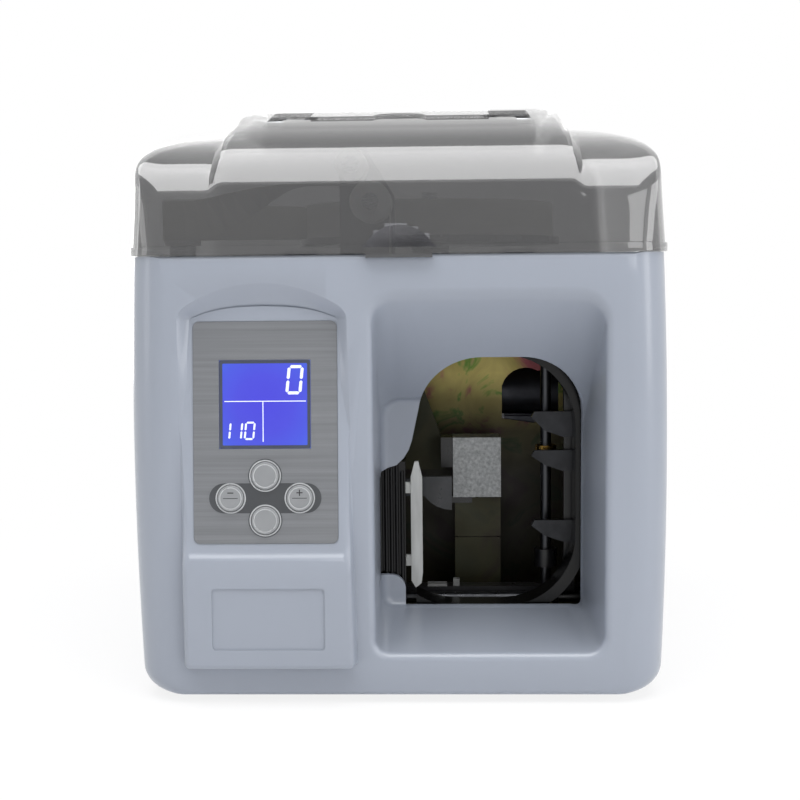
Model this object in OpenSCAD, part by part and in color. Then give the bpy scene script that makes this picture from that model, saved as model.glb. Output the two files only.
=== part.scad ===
// Desktop banknote strapping machine with a smoked lid over its tape reel.
// Millimetres. X runs to the right, Y to the rear, Z up, with the origin under the middle.

/* [Body] */
// Width of the body at its widest, half way up
body_w = 268; // [256:1:300]
// Depth of the body from its front face to its rear face
body_d = 274; // [270:1:300]
// Height of the body from its lower edge to the rim under the lid
body_h = 218; // [216:1:240]
// Height of the feet below the body
foot_h = 4; // [3:0.5:8]
// Wall of the moulded covers
wall = 3; // [2:0.5:4]
// How far each side draws in from its widest point to the rim
side_bulge = 2.5; // [0:0.5:4]
// Radius of the upright front corners
corner_r = 22; // [14:1:26]
// Radius of the upright rear corners
rear_r = 12; // [8:1:20]
// Radius along the lower side edges
base_r = 12; // [8:1:16]
// Depth of the front cover, from the front face to the seam
front_depth = 76; // [70:1:84]
// Gap at the seam and round loose fitted pieces
seam = 0.3; // [0.2:0.1:0.6]

/* [Console] */
// Left edge of the console, measured in from the widest point
console_margin = 27; // [24:1:34]
// Width of the console along its foot
console_w = 86; // [80:1:88]
// How much narrower the console is at its arch
console_taper = 3.2; // [0:0.2:5]
// Lower edge of the console above the body's lower edge
console_low = 14.6; // [10:0.2:20]
// Height of the lower block, up to the step under the panel
block_h = 54.9; // [46:0.1:60]
// How far the lower block stands out from the front face
console_proud = 8; // [6:0.5:10]
// How far the surface under the panel lies behind the lower block
step_in = 2.5; // [1:0.5:3]
// Backward lean of the panel in degrees
console_tilt = 5.5; // [3:0.5:7]
// Top of the arch above the body's lower edge
arch_top = 204.8; // [198:0.2:208]
// Radius of the arch
arch_r = 68; // [60:1:90]
// Depth of the shallow label recess
label_depth = 0.8; // [0.4:0.1:1.2]
// Width of the label recess
label_w = 55.4; // [40:0.2:60]
// Height of the label recess
label_h = 30.8; // [20:0.2:36]

/* [Panel] */
// Width of the control panel
panel_w = 70.6; // [66:0.2:74]
// Height of the control panel
panel_h = 108.5; // [104:0.5:112]
// Thickness of the control panel
panel_t = 0.9; // [0.6:0.1:1.2]
// Width of the display window
window_w = 44.5; // [36:0.5:50]
// Height of the display window
window_h = 43; // [36:0.5:46]
// Diameter of the upper and lower keys
key_d = 13.6; // [11:0.2:14.4]
// Diameter of the left and right keys
side_key_d = 12.9; // [11:0.1:14]
// Distance from the middle of the keys to the left and right keys
key_reach = 16.9; // [16.5:0.1:20]
// Distance from the middle of the keys to the upper and lower keys
key_rise = 10.9; // [10.7:0.1:12]
// Travel of each key
key_travel = 0.8; // [0.4:0.1:1]

/* [Note recess] */
// Left edge of the note recess from the middle of the body
recess_left = -12; // [-14:1:-8]
// Width of the note recess at the front face
recess_w = 113.5; // [108:0.5:116]
// Depth of the note recess
recess_depth = 60; // [56:1:62]
// Lower edge of the recess above the body's lower edge
recess_low = 20.7; // [18:0.1:26]
// Height of the recess at the front face
recess_h = 177.8; // [172:0.2:182]
// Rise of the recess floor towards the rear
floor_rise = 10; // [6:0.5:12]
// Draft of the right wall in degrees
wall_draft = 5.4; // [3:0.1:7]
// Radius of the upper corners of the recess
recess_r = 10; // [6:1:14]

/* [Lid] */
// Height of the lid from its lower edge to its crest
lid_h = 83.2; // [80:0.2:90]
// Wall of the lid
lid_wall = 2.5; // [2:0.25:3]
// Half width of the raised middle at its foot
crown_half = 91.5; // [88:0.5:94]
// How far the shoulders lie below the raised middle
crown_step = 9.5; // [6:0.5:12]
// Height of the rim flange
flange_h = 4.5; // [3:0.5:6]
// How far the rim flange stands proud
flange_proud = 0.8; // [0.4:0.1:1]
// Radius of the hinge barrels
hinge_r = 3.5; // [3:0.1:3.6]
// Radius of the hinge pins
pin_r = 1.6; // [1.2:0.1:1.8]
// Running clearance of pins and shafts
run = 0.05; // [0.03:0.01:0.09]
// Half width of the folding grip
grip_half = 62; // [58:1:64]
// Depth of the pocket that holds the grip
grip_depth = 9; // [8:0.5:11]

/* [Tape] */
// Width of the paper tape
tape_w = 20; // [16:1:22]
// Radius of the full tape roll
roll_r = 75; // [60:1:78]
// Radius of the roll's core
core_r = 20; // [16:1:24]
// Radius of the tape post
post_r = 9.5; // [8:0.5:10]
// Radius of the guide roller between its flanges
guide_r = 9.5; // [8:0.1:10]
// Radius of the keeper roller
keeper_r = 8.6; // [7.6:0.1:8.8]
// Radius of the feed roller
feed_r = 9; // [8:0.5:9.5]
// Radius of the pinch roller
pinch_r = 7; // [6:0.5:8]

/* [Mechanism] */
// Thickness of the plated steel plates
plate_t = 2; // [1.5:0.25:2.5]
// Depth of the back plate behind the front face
back_depth = 165; // [158:1:172]
// Radius of the guide rods
rod_r = 3; // [2.5:0.25:3.5]
// Travel of the clamp to the left
clamp_travel = 36; // [20:1:40]
// Wall of the tape track
track_wall = 6; // [4:0.5:7]
// Inner corner radius of the tape track
track_r = 39; // [30:1:42]
// Width of the stop block
stop_w = 27.7; // [22:0.1:30]
// Height of the stop block
stop_h = 34.8; // [28:0.1:38]
// Tooth module of the rack and pinion
gear_m = 1; // [0.8:0.05:1.1]
// Teeth on the pinion
pinion_teeth = 16; // [14:1:18]
// Travel of the seal head
head_travel = 4; // [2:0.5:5]

/* [Hidden] */
$fn = 64;

// Main planes
low_z = foot_h;
rim_z = low_z + body_h;
mid_z = low_z + body_h / 2;
front_y = -body_d / 2;
rear_y = body_d / 2;
seam_y = front_y + front_depth;
floor_z = low_z + wall;

// Console and recess edges
console_x0 = -body_w / 2 + console_margin;
console_x1 = console_x0 + console_w;
console_x2 = console_x1 - console_taper;
console_z0 = low_z + console_low;
step_z = console_z0 + block_h;
step_rise = 5;
shoulder_r = 8;
arch_z = low_z + arch_top;
arch_x = (console_x0 + console_x2) / 2;
block_y = front_y - console_proud;
lean_y = block_y + step_in;
recess_x0 = recess_left;
recess_x1 = recess_left + recess_w;
recess_z0 = low_z + recess_low;
recess_z1 = recess_z0 + recess_h;
recess_y = front_y + recess_depth;

// Panel places, in the panel's own frame: across, up the slope and outwards
panel_x = arch_x + 0.9;
panel_s = 3.6;
window_x = panel_x - 0.1;
window_s = panel_s + panel_h - 19 - window_h;
keys_x = panel_x - 0.2;
keys_s = panel_s + 22.2;
board_n = -8.4;
loose = 0.2;
ledge = 1.5;
boss_r = 3.2;
label_z = console_z0 + 10.8;

// Lid and hinge
lid_half = body_w / 2 - 1.5;
lid_z = rim_z + seam;
crest_z = rim_z + lid_h + seam;
hinge_y = rear_y + console_proud - hinge_r;
hinge_z = rim_z + 4;
hinge_x = 75;
grip_y = front_y + 82.5;
grip_tilt = 12.6;
grip_z = crest_z - 8.65;

// Deck, reel and tape path
deck_t = 3;
deck_z = rim_z - 9;
reel_x = 15;
reel_y = 40;
roll_z = deck_z + deck_t + 18;
tape_t = 0.3;
tape_mid_y = front_y + 75;
guide_x = -15.4;
guide_z = rim_z + 28.8;
tape_x = guide_x + guide_r + 0.5;
keeper_x = guide_x - 10.1;
keeper_z = guide_z + guide_r + keeper_r + 1.1;
post_x = -body_w / 2 + 20;
post_y = front_y + 57;
feed_z = deck_z - feed_r - 2;

// Mechanism
back_y = front_y + back_depth;
plate_x0 = recess_x0 - 12;
plate_x1 = body_w / 2 - 20;
rod_y = front_y + 91;
rod_low_z = low_z + 27;
rod_high_z = deck_z - 27;
rail_y = rod_y + rod_r + 2;
rail_d = 10;
rail_h = 6;
rail_low_z = low_z + 26;
rail_high_z = deck_z - 41;
track_y0 = recess_y + wall + 0.5;
track_y1 = track_y0 + tape_w;
track_x1 = recess_x0 + 106;
track_z0 = low_z + 29;
track_z1 = deck_z - 44;
bar_x = 89;
bar_w = 6;
finger_t = 4;
pinion_r = gear_m * pinion_teeth / 2;
pinion_x = 70;
pinion_y = rod_y + rod_r + 1;
head_z = low_z + 74;
motor_r = 10.5;
pinion_z = deck_z - motor_r;
rack_z = pinion_z - pinion_r;

function arc(cx, cy, r, a0, a1, n) = [for (i = [0 : n]) let (a = a0 + (a1 - a0) * i / n)
    [cx + r * cos(a), cy + r * sin(a)]];
function flip(p) = [for (i = [len(p) - 1 : -1 : 0]) [-p[i][0], p[i][1]]];
function unit(v) = v / norm(v);
function inset(p, e) = [for (i = [0 : len(p) - 1])
    let (a = p[max(i - 1, 0)], b = p[min(i + 1, len(p) - 1)], t = unit(b - a))
    [p[i][0] + e * t[1], p[i][1] - e * t[0]]];
function side_x(z, e) = body_w / 2 - side_bulge * pow((z - mid_z) / (body_h / 2), 2) - e;

module along_y(y0, y1) translate([0, y1, 0]) rotate([90, 0, 0]) linear_extrude(y1 - y0) children();
module along_x(x0, x1) translate([x0, 0, 0]) rotate([90, 0, 90]) linear_extrude(x1 - x0) children();
module box(x0, x1, y0, y1, z0, z1) translate([x0, y0, z0]) cube([x1 - x0, y1 - y0, z1 - z0]);
module rod_x(x0, x1, y, z, r) translate([x0, y, z]) rotate([0, 90, 0]) cylinder(h = x1 - x0, r = r);
module rod_y(x, y0, y1, z, r) translate([x, y1, z]) rotate([90, 0, 0]) cylinder(h = y1 - y0, r = r);
module rod_z(x, y, z0, z1, r) translate([x, y, z0]) cylinder(h = z1 - z0, r = r);
module slab(x0, y0, x1, y1, r) {
    translate([x0 + r, y0]) square([x1 - x0 - 2 * r, y1 - y0]);
    translate([x0, y0 + r]) square([x1 - x0, y1 - y0 - 2 * r]);
    for (x = [x0 + r, x1 - r], y = [y0 + r, y1 - r]) translate([x, y]) circle(r);
}

// Front outline of the body, drawn in by e
function half_outline(e, top) = concat(
    arc(side_x(low_z + base_r, 0) - base_r, low_z + base_r, base_r - e, -90, 0, 6),
    [for (i = [1 : 10]) let (z = low_z + base_r + (top - low_z - base_r) * i / 10) [side_x(z, e), z]]);
module body_outline(e, top) polygon(concat(half_outline(e, top), flip(half_outline(e, top))));

// Outline of the body from above, drawn in by e
module body_plan(e, w = body_w / 2) {
    x = w - e;
    y = body_d / 2 - e;
    f = corner_r - e;
    r = rear_r - e;
    translate([-x, -y + f]) square([2 * x, 2 * y - f - r]);
    translate([-x + f, -y]) square([2 * (x - f), f + 1]);
    translate([-x + r, y - r - 1]) square([2 * (x - r), r + 1]);
    for (s = [-1, 1]) {
        translate([s * (x - f), -y + f]) circle(f);
        translate([s * (x - r), y - r]) circle(r);
    }
}

module body_block(e, top) intersection() {
    along_y(front_y - 1, rear_y + 1) body_outline(e, top);
    translate([0, 0, low_z - 1]) linear_extrude(top + 2) body_plan(e);
}

// Hollow cover with a turned-in lip that the base plate lies on
module body_shell() difference() {
    body_block(0, rim_z);
    body_block(wall, rim_z + 5);
    box(-body_w / 2 + 30, body_w / 2 - 30, front_y + 18, rear_y - 14, low_z - 1, floor_z + 1);
}

// Side edges and arch of the console, drawn in by e
function console_points(e) = let (r = shoulder_r, c = arch_z - arch_r, s = arch_x - console_x0 - r,
    h = sqrt(pow(arch_r - r, 2) - s * s), a = atan2(h, s)) concat(
    [[console_x0 + e, console_z0 + e], [console_x1 - e, console_z0 + e]],
    arc(console_x2 - r, c + h, r - e, 0, a, 3),
    arc(arch_x, c, arch_r - e, a, 180 - a, 14),
    arc(console_x0 + r, c + h, r - e, 180 - a, 180, 3));
function lean(z) = lean_y + (z - step_z - step_rise) * tan(console_tilt);
module console_side(e) polygon([
    [block_y + e, console_z0 - 5], [block_y + e, step_z], [lean_y + e, step_z + step_rise],
    [lean(arch_z + 5) + e, arch_z + 5], [recess_y, arch_z + 5], [recess_y, console_z0 - 5]]);
module console_block(e, back) intersection() {
    along_y(block_y - 1, back) polygon(console_points(e));
    along_x(console_x0 - 1, console_x1 + 1) console_side(e);
}

// Frame of the sloped panel
module on_panel() translate([0, lean_y, step_z + step_rise]) rotate([90 - console_tilt, 0, 0]) children();
module panel_box(x0, x1, s0, s1, n0, n1) on_panel() box(x0, x1, s0, s1, n0, n1);
module panel_rod(x, s, n0, n1, r) on_panel() rod_z(x, s, n0, n1, r);
key_places = [[keys_x, keys_s + key_rise], [keys_x, keys_s - key_rise], [keys_x - key_reach, keys_s],
    [keys_x + key_reach, keys_s]];
key_radii = [key_d / 2, key_d / 2, side_key_d / 2, side_key_d / 2];

// Note recess, grown by e: sloped ceiling, rising floor, drafted right wall
module recess_block(e) intersection() {
    along_x(recess_x0 - e, recess_x1 + e) polygon([
        [front_y - 1, recess_z0 - e - floor_rise / recess_depth], [front_y - 1, recess_z1 + 1 + e * sqrt(2)],
        [recess_y + e, recess_z1 - recess_depth + e * (sqrt(2) - 1)],
        [recess_y + e, recess_z0 + floor_rise - e * 0.85]]);
    translate([0, 0, low_z]) linear_extrude(body_h) polygon([
        [recess_x0 - e, front_y - 1], [recess_x1 + e + tan(wall_draft), front_y - 1],
        [recess_x1 + e - (recess_depth + e) * tan(wall_draft), recess_y + e], [recess_x0 - e, recess_y + e]]);
    along_y(front_y - 1, recess_y + e) slab(recess_x0 - e, recess_z0 - 15 - e, recess_x1 + e, recess_z1 + e,
        recess_r + e);
}

// Opening from the recess into the binding chamber
hole_x1 = recess_x1 - 6;
hole_z0 = recess_z0 + floor_rise;
hole_z1 = recess_z1 - 32.5;
hole_r = 33;
hole_foot_r = 3;
module chamber_hole() polygon(concat(
    [[recess_x0 + 13.5, hole_z0]], arc(hole_x1 - hole_foot_r, hole_z0 + hole_foot_r, hole_foot_r, -90, 0, 3),
    arc(hole_x1 - hole_r, hole_z1 - hole_r, hole_r, 0, 90, 8),
    arc(recess_x0 + 54, hole_z1 - hole_r, hole_r, 90, 172, 8),
    [[recess_x0 + 17.5, hole_z1 - 46], [recess_x0 + 13.5, hole_z1 - 54], [recess_x0 + 9, hole_z1 - 59.5],
     [recess_x0, hole_z1 - 63], [recess_x0, hole_z0 + 17]],
    arc(recess_x0 + 6, hole_z0 + 9, 7.5, 90, 0, 4)));

module front_cover() color("#a8adb8") difference() {
    union() {
        intersection() {
            body_shell();
            box(-body_w, body_w, front_y - 1, seam_y, 0, rim_z + 1);
        }
        console_block(0, front_y + 11);
        intersection() {
            recess_block(wall);
            box(-body_w, body_w, front_y + 0.5, rear_y, 0, rim_z);
        }
        for (x = [panel_x - panel_w / 2 + 2, panel_x + panel_w / 2 - 2],
            s = [panel_s + 4, panel_s + panel_h - 6])
            panel_rod(x, s, board_n, -wall, boss_r);
    }
    difference() {
        along_y(front_y - 20, front_y + 11) polygon(console_points(0));
        along_x(console_x0 - 1, console_x1 + 1) console_side(0);
    }
    difference() {
        console_block(wall, front_y + 60);
        for (x = [panel_x - panel_w / 2 + 2, panel_x + panel_w / 2 - 2],
            s = [panel_s + 4, panel_s + panel_h - 6])
            panel_rod(x, s, board_n, -wall + 1, boss_r);
    }
    recess_block(0);
    along_y(front_y + 1, recess_y + wall + 1) chamber_hole();
    along_y(block_y - 1, block_y + label_depth)
        translate([(console_x0 + console_x1) / 2 - label_w / 2, label_z])
            slab(0, 0, label_w, label_h, 2);
    panel_box(panel_x - panel_w / 2 - loose, panel_x + panel_w / 2 + loose, panel_s - loose,
        panel_s + panel_h + loose, -0.5, 9);
    panel_box(window_x - window_w / 2 + ledge, window_x + window_w / 2 - ledge, window_s + ledge,
        window_s + window_h - ledge, -9, 1);
    panel_box(window_x - window_w / 2 - loose, window_x + window_w / 2 + loose, window_s - loose,
        window_s + window_h + loose, -1.3, 1);
    for (i = [0 : 3]) panel_rod(key_places[i][0], key_places[i][1], -9, 1, key_radii[i] + 0.3);
}

vent_n = 9;
vent_step = 8;
vent_high = 3.5;
rear_vent_z = low_z + 110;
side_vent_z = low_z + 50;
side_vent_y = 55;
inlet_x = 70;
inlet_z = low_z + 40;
switch_x = 40;
module rear_cover() color("#a8adb8") difference() {
    intersection() {
        body_shell();
        box(-body_w, body_w, seam_y + seam, rear_y + 1, 0, rim_z + 1);
    }
    for (i = [0 : vent_n - 1]) {
        along_y(rear_y - wall - 1, rear_y + 1) translate([0, rear_vent_z + i * vent_step])
            slab(-45, 0, 45, vent_high, 1.7);
        for (s = [-1, 1]) along_x(s * body_w / 2 - 8, s * body_w / 2 + 8)
            translate([side_vent_y, side_vent_z + i * vent_step]) slab(0, 0, 50, vent_high, 1.7);
    }
    box(inlet_x - 14.2, inlet_x + 14.2, rear_y - wall - 1, rear_y + 1, inlet_z - 10.2, inlet_z + 10.2);
    box(switch_x - 7.2, switch_x + 7.2, rear_y - wall - 1, rear_y + 1, inlet_z - 10.2, inlet_z + 10.2);
}

base_z = floor_z;
base_x = side_x(low_z + base_r, 0) - base_r - 2;
module base_plate() color("#9a9a92") translate([0, 0, base_z]) linear_extrude(plate_t)
    slab(-base_x, front_y + wall + 0.5, base_x, rear_y - wall - 0.5, corner_r - wall);

foot_x = body_w / 2 - 46;
foot_y = body_d / 2 - 31;
foot_r = 9;
module feet() color("#222222") for (x = [-foot_x, foot_x], y = [-foot_y, foot_y])
    rod_z(x, y, 0, base_z, foot_r);

top_z = base_z + plate_t;
module top_deck() color("#7d8086") difference() {
    intersection() {
        body_block(wall + seam, rim_z + 5);
        box(-body_w, body_w, front_y, rear_y, deck_z, deck_z + deck_t);
    }
    box(tape_x - 4, tape_x + 4, tape_mid_y - tape_w / 2 - 3, tape_mid_y + tape_w / 2 + 3,
        deck_z - 1, deck_z + deck_t + 1);
}

// Lid profiles: side view from front to rear, dropped by d, and front view of the crown and shoulders
function lid_side(d) = [for (p = [
    [0, 0], [0.8, 10], [2.2, 25], [7, 38], [15, 48.5], [25, 56.5], [42, 64.5], [58, 69.2], [106, 80],
    [118, 82.2], [132, 83.2],
    [196, 83.2], [226, 80], [246, 72], [260, 60], [270, 40], [273, 20], [274, 0]])
    [front_y + p[0] * body_d / 274, lid_z + (p[1] > 20 ? (p[1] - 20) * (lid_h - 20 - d) / 63.2 + 20 : p[1])]];
function shoulder_half() = [[lid_half, lid_z], [lid_half - 2, lid_z + 26], [lid_half - 3.5, lid_z + 48],
    [lid_half - 8, lid_z + 56], [lid_half - 19, lid_z + 65], [lid_half - 34, lid_z + 69.5],
    [0, lid_z + 72.5]];
function crown_points() = [[crown_half, lid_z + 28], [crown_half - 2.2, lid_z + 60],
    [crown_half - 4.5, lid_z + 77], [crown_half - 12, lid_z + 80.2],
    [crown_half - 40, lid_z + 82.4], [0, lid_z + 83.2]];
function raised(p) = [for (q = p) [q[0], lid_z + (q[1] - lid_z) * lid_h / 83.2]];
module lid_front(p, e, z0) {
    q = raised(p);
    n = len(q) - 1;
    h = concat([[q[0][0] - e, z0]], [for (i = [0 : n - 1]) inset(q, -e)[i]]);
    polygon(concat(h, [[0, q[n][1] - e]], flip(h)));
}
module lid_profile(d, e, z0) {
    s = inset(lid_side(d), e);
    polygon(concat([[s[0][0], z0]], s, [[s[len(s) - 1][0], z0]]));
}
module lid_block(e, z0) {
    intersection() {
        along_x(-lid_half, lid_half) lid_profile(crown_step, e, z0);
        along_y(front_y - 1, rear_y + 1) lid_front(shoulder_half(), e, z0);
        translate([0, 0, z0]) linear_extrude(lid_h + 10) body_plan(e + 0.1, lid_half);
    }
    intersection() {
        along_x(-crown_half, crown_half) lid_profile(0, e, z0);
        along_y(front_y - 1, rear_y + 1) lid_front(crown_points(), e, z0);
    }
}
module on_grip() translate([0, grip_y, grip_z]) rotate([grip_tilt, 0, 0]) children();
module grip_pocket(e) on_grip() {
    box(-grip_half - 7 - e, grip_half + 7 + e, -22 - e, -3 + e, -grip_depth - e, 6);
    for (s = [-1, 1]) box(s * (grip_half + 7) - (s > 0 ? 21 : 0) - e,
        s * (grip_half + 7) + (s < 0 ? 21 : 0) + e, -10, 22 + e,
        -grip_depth - e, 6);
    rod_z(0, -2, -grip_depth - e, 6, 14 + e);
}
lip_x = 1.5;
module lid_scoop(e) translate([lip_x, front_y - 15, lid_z - 4]) sphere(r = 24 + e);
module lid() color("#6f6f70", 0.55) difference() {
    union() {
        difference() {
            lid_block(0, lid_z);
            lid_block(lid_wall, lid_z - 1);
        }
        difference() {
            translate([0, 0, lid_z]) linear_extrude(flange_h) body_plan(-flange_proud, lid_half);
            translate([0, 0, lid_z - 1]) linear_extrude(flange_h + 2) body_plan(lid_wall, lid_half);
            for (s = [-1, 1]) box(s * hinge_x - 13, s * hinge_x + 13, rear_y - 0.2, rear_y + 5, lid_z - 1,
                lid_z + 9);
        }
        intersection() {
            lid_block(0, lid_z);
            union() {
                grip_pocket(lid_wall);
                lid_scoop(lid_wall);
            }
        }
        box(lip_x - 16, lip_x + 16, front_y - 4, front_y - seam, lid_z - 2, lid_z + 3);
        box(lip_x - 17, lip_x + 17, front_y - 4, front_y + lid_wall, lid_z, lid_z + 3);
        for (s = [-1, 1]) {
            rod_x(s * hinge_x - 5, s * hinge_x + 5, hinge_y, hinge_z, hinge_r);
            box(s * hinge_x - 5, s * hinge_x + 5, rear_y - lid_wall, hinge_y, hinge_z - 2, hinge_z + 2);
        }
    }
    difference() {
        lid_scoop(0);
        box(lip_x - 40, lip_x + 40, front_y - 60, front_y + 20, lid_z - 40, lid_z + 3);
    }
    grip_pocket(0);
    on_grip() rod_x(-grip_half - 9, grip_half + 9, 12, -grip_depth / 2, pin_r + run);
    for (s = [-1, 1]) rod_x(s * hinge_x - 6, s * hinge_x + 6, hinge_y, hinge_z, pin_r + run);
}

module hinge_brackets() color("#5f6063") for (s = [-1, 1], t = [-1, 1]) difference() {
    union() {
        rod_x(s * hinge_x + t * 8.3 - 3, s * hinge_x + t * 8.3 + 3, hinge_y, hinge_z, hinge_r);
        box(s * hinge_x + t * 8.3 - 3, s * hinge_x + t * 8.3 + 3, hinge_y - 1, hinge_y + hinge_r,
            hinge_z - 20, hinge_z);
        box(s * hinge_x + t * 8.3 - 3, s * hinge_x + t * 8.3 + 3, rear_y, hinge_y + hinge_r, hinge_z - 22,
            rim_z - 1);
    }
    rod_x(s * hinge_x + t * 8.3 - 4, s * hinge_x + t * 8.3 + 4, hinge_y, hinge_z, pin_r + run);
}
module hinge_pins() color("#b5b5b5") for (s = [-1, 1])
    rod_x(s * hinge_x - 11.3, s * hinge_x + 11.3, hinge_y, hinge_z, pin_r);

module grip_handle() color("#8c8c8e") on_grip() difference() {
    union() {
        box(-grip_half, grip_half, -20, -5, -grip_depth + 1, -0.6);
        for (s = [-1, 1]) {
            box(s * grip_half - (s > 0 ? 10 : 0), s * grip_half + (s < 0 ? 10 : 0), -6, 12,
                -grip_depth / 2 - 3, -grip_depth / 2 + 3);
            rod_x(s * grip_half - (s > 0 ? 10 : 0), s * grip_half + (s < 0 ? 10 : 0), 12, -grip_depth / 2, 3);
        }
    }
    rod_x(-grip_half - 1, grip_half + 1, 12, -grip_depth / 2, pin_r + run);
}
module grip_pins() color("#b5b5b5") on_grip() for (s = [-1, 1])
    rod_x(s * (grip_half + 1) - 8, s * (grip_half + 1) + 8, 12, -grip_depth / 2, pin_r);

module control_panel() color("#7c7e81") difference() {
    on_panel() translate([0, 0, -0.5]) linear_extrude(panel_t)
        slab(panel_x - panel_w / 2, panel_s, panel_x + panel_w / 2, panel_s + panel_h, 3);
    panel_box(window_x - window_w / 2 - loose, window_x + window_w / 2 + loose, window_s - loose,
        window_s + window_h + loose, -2, 2);
    for (i = [0 : 3]) panel_rod(key_places[i][0], key_places[i][1], -2, 2, key_radii[i] + 0.3);
}
module display_window() color("#30406a", 0.5)
    panel_box(window_x - window_w / 2, window_x + window_w / 2, window_s, window_s + window_h, -1.2,
        panel_t - 0.6);
module display_module() color("#4a52e0")
    panel_box(window_x - window_w / 2 - 2, window_x + window_w / 2 + 2, window_s - 2,
        window_s + window_h + 2, board_n, -wall - 0.1);
module panel_board() color("#2f6b3c") {
    panel_box(panel_x - panel_w / 2, panel_x + panel_w / 2, panel_s + 1, panel_s + panel_h - 3,
        board_n - 1.6, board_n);
    for (p = key_places) panel_box(p[0] - 3, p[0] + 3, p[1] - 3, p[1] + 3, board_n, board_n + 2);
}
module key_cap(i) color("#9fa1a3") {
    panel_rod(key_places[i][0], key_places[i][1], -wall - 0.6, panel_t + 0.9, key_radii[i]);
    panel_rod(key_places[i][0], key_places[i][1], -wall - 1.4, -wall - 0.5, key_radii[i] + 0.9);
    panel_rod(key_places[i][0], key_places[i][1], board_n + 2 + key_travel + 0.15, -wall - 1, 1.5);
}
module key_top() key_cap(0);
module key_bottom() key_cap(1);
module key_left() key_cap(2);
module key_right() key_cap(3);

module power_inlet() color("#1f1f20") difference() {
    union() {
        box(inlet_x - 14, inlet_x + 14, rear_y - 22, rear_y, inlet_z - 10, inlet_z + 10);
        box(inlet_x - 20, inlet_x + 20, rear_y, rear_y + 2.5, inlet_z - 11.5, inlet_z + 11.5);
    }
    box(inlet_x - 12, inlet_x + 12, rear_y - 16, rear_y + 3, inlet_z - 7.5, inlet_z + 7.5);
    for (s = [-1, 1]) rod_y(inlet_x + s * 17, rear_y - 1, rear_y + 3, inlet_z, 1.7);
}
module switch_body() color("#1f1f20") difference() {
    union() {
        box(switch_x - 7, switch_x + 7, rear_y - 18, rear_y, inlet_z - 10, inlet_z + 10);
        box(switch_x - 8.5, switch_x + 8.5, rear_y, rear_y + 2, inlet_z - 12, inlet_z + 12);
    }
    box(switch_x - 5.5, switch_x + 5.5, rear_y - 12, rear_y + 3, inlet_z - 8.7, inlet_z + 8.7);
    rod_x(switch_x - 7.6, switch_x + 7.6, rear_y - 1, inlet_z, 1 + run);
}
module power_rocker() color("#b3261e") {
    rod_x(switch_x - 6.5, switch_x + 6.5, rear_y - 1, inlet_z, 1);
    difference() {
        along_x(switch_x - 5.2, switch_x + 5.2) polygon([
            [rear_y - 3.5, inlet_z - 4], [rear_y + 0.5, inlet_z - 8], [rear_y + 1.5, inlet_z - 7.6],
            [rear_y + 1.6, inlet_z], [rear_y + 3.6, inlet_z + 7.6],
            [rear_y + 2.4, inlet_z + 8], [rear_y - 3.5, inlet_z + 4]]);
    }
}
core_h = 28;
module transformer() color("#4a4a4c") {
    x = -body_w / 2 + 34;
    y = rear_y - 83;
    for (z = [top_z, top_z + core_h + 12]) box(x, x + 54, y + 8, y + 52, z, z + 12);
    box(x + 4, x + 50, y, y + 60, top_z + 12, top_z + 12 + core_h);
}
module control_board() color("#2f6b3c") {
    y = rear_y - 87;
    z = top_z + 11.6;
    box(-30, 90, y, y + 60, top_z + 10, z);
    for (x = [-26, 86], e = [4, 56]) rod_z(x, y + e, top_z, top_z + 10, 3);
    box(-20, 6, y + 10, y + 42, z, z + 4.4);
    box(40, 60, y + 12, y + 32, z, z + 18.4);
    for (x = [16, 30]) rod_z(x, y + 48, z, z + 20.4, 6);
}

hub_z = roll_z - 4;
spin_gap = 0.3;
module turntable() color("#2a2a2c") difference() {
    union() {
        rod_z(reel_x, reel_y, hub_z, roll_z, roll_r + 4);
        rod_z(reel_x, reel_y, hub_z, roll_z + tape_w + 3, core_r - spin_gap);
    }
    rod_z(reel_x, reel_y, hub_z - 1, roll_z + tape_w + 4, 5 + run);
}
module tape_roll() color("#d9d7cf") difference() {
    rod_z(reel_x, reel_y, roll_z, roll_z + tape_w, roll_r);
    rod_z(reel_x, reel_y, roll_z - 1, roll_z + tape_w + 1, core_r);
}
module deck_spindles() color("#b5b5b5") {
    rod_z(reel_x, reel_y, deck_z + deck_t, hub_z - spin_gap, 12);
    rod_z(reel_x, reel_y, deck_z + deck_t, roll_z + tape_w + 8, 5);
    rod_z(post_x, post_y, deck_z + deck_t, roll_z - 6, 7);
    rod_z(post_x, post_y, deck_z + deck_t, roll_z + tape_w - 2, 3);
}
module guide_post() color("#dad8cf", 0.7) difference() {
    rod_z(post_x, post_y, roll_z - 5.7, roll_z + tape_w - 2, post_r);
    rod_z(post_x, post_y, roll_z - 7, roll_z + tape_w, 3 + run);
}

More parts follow.
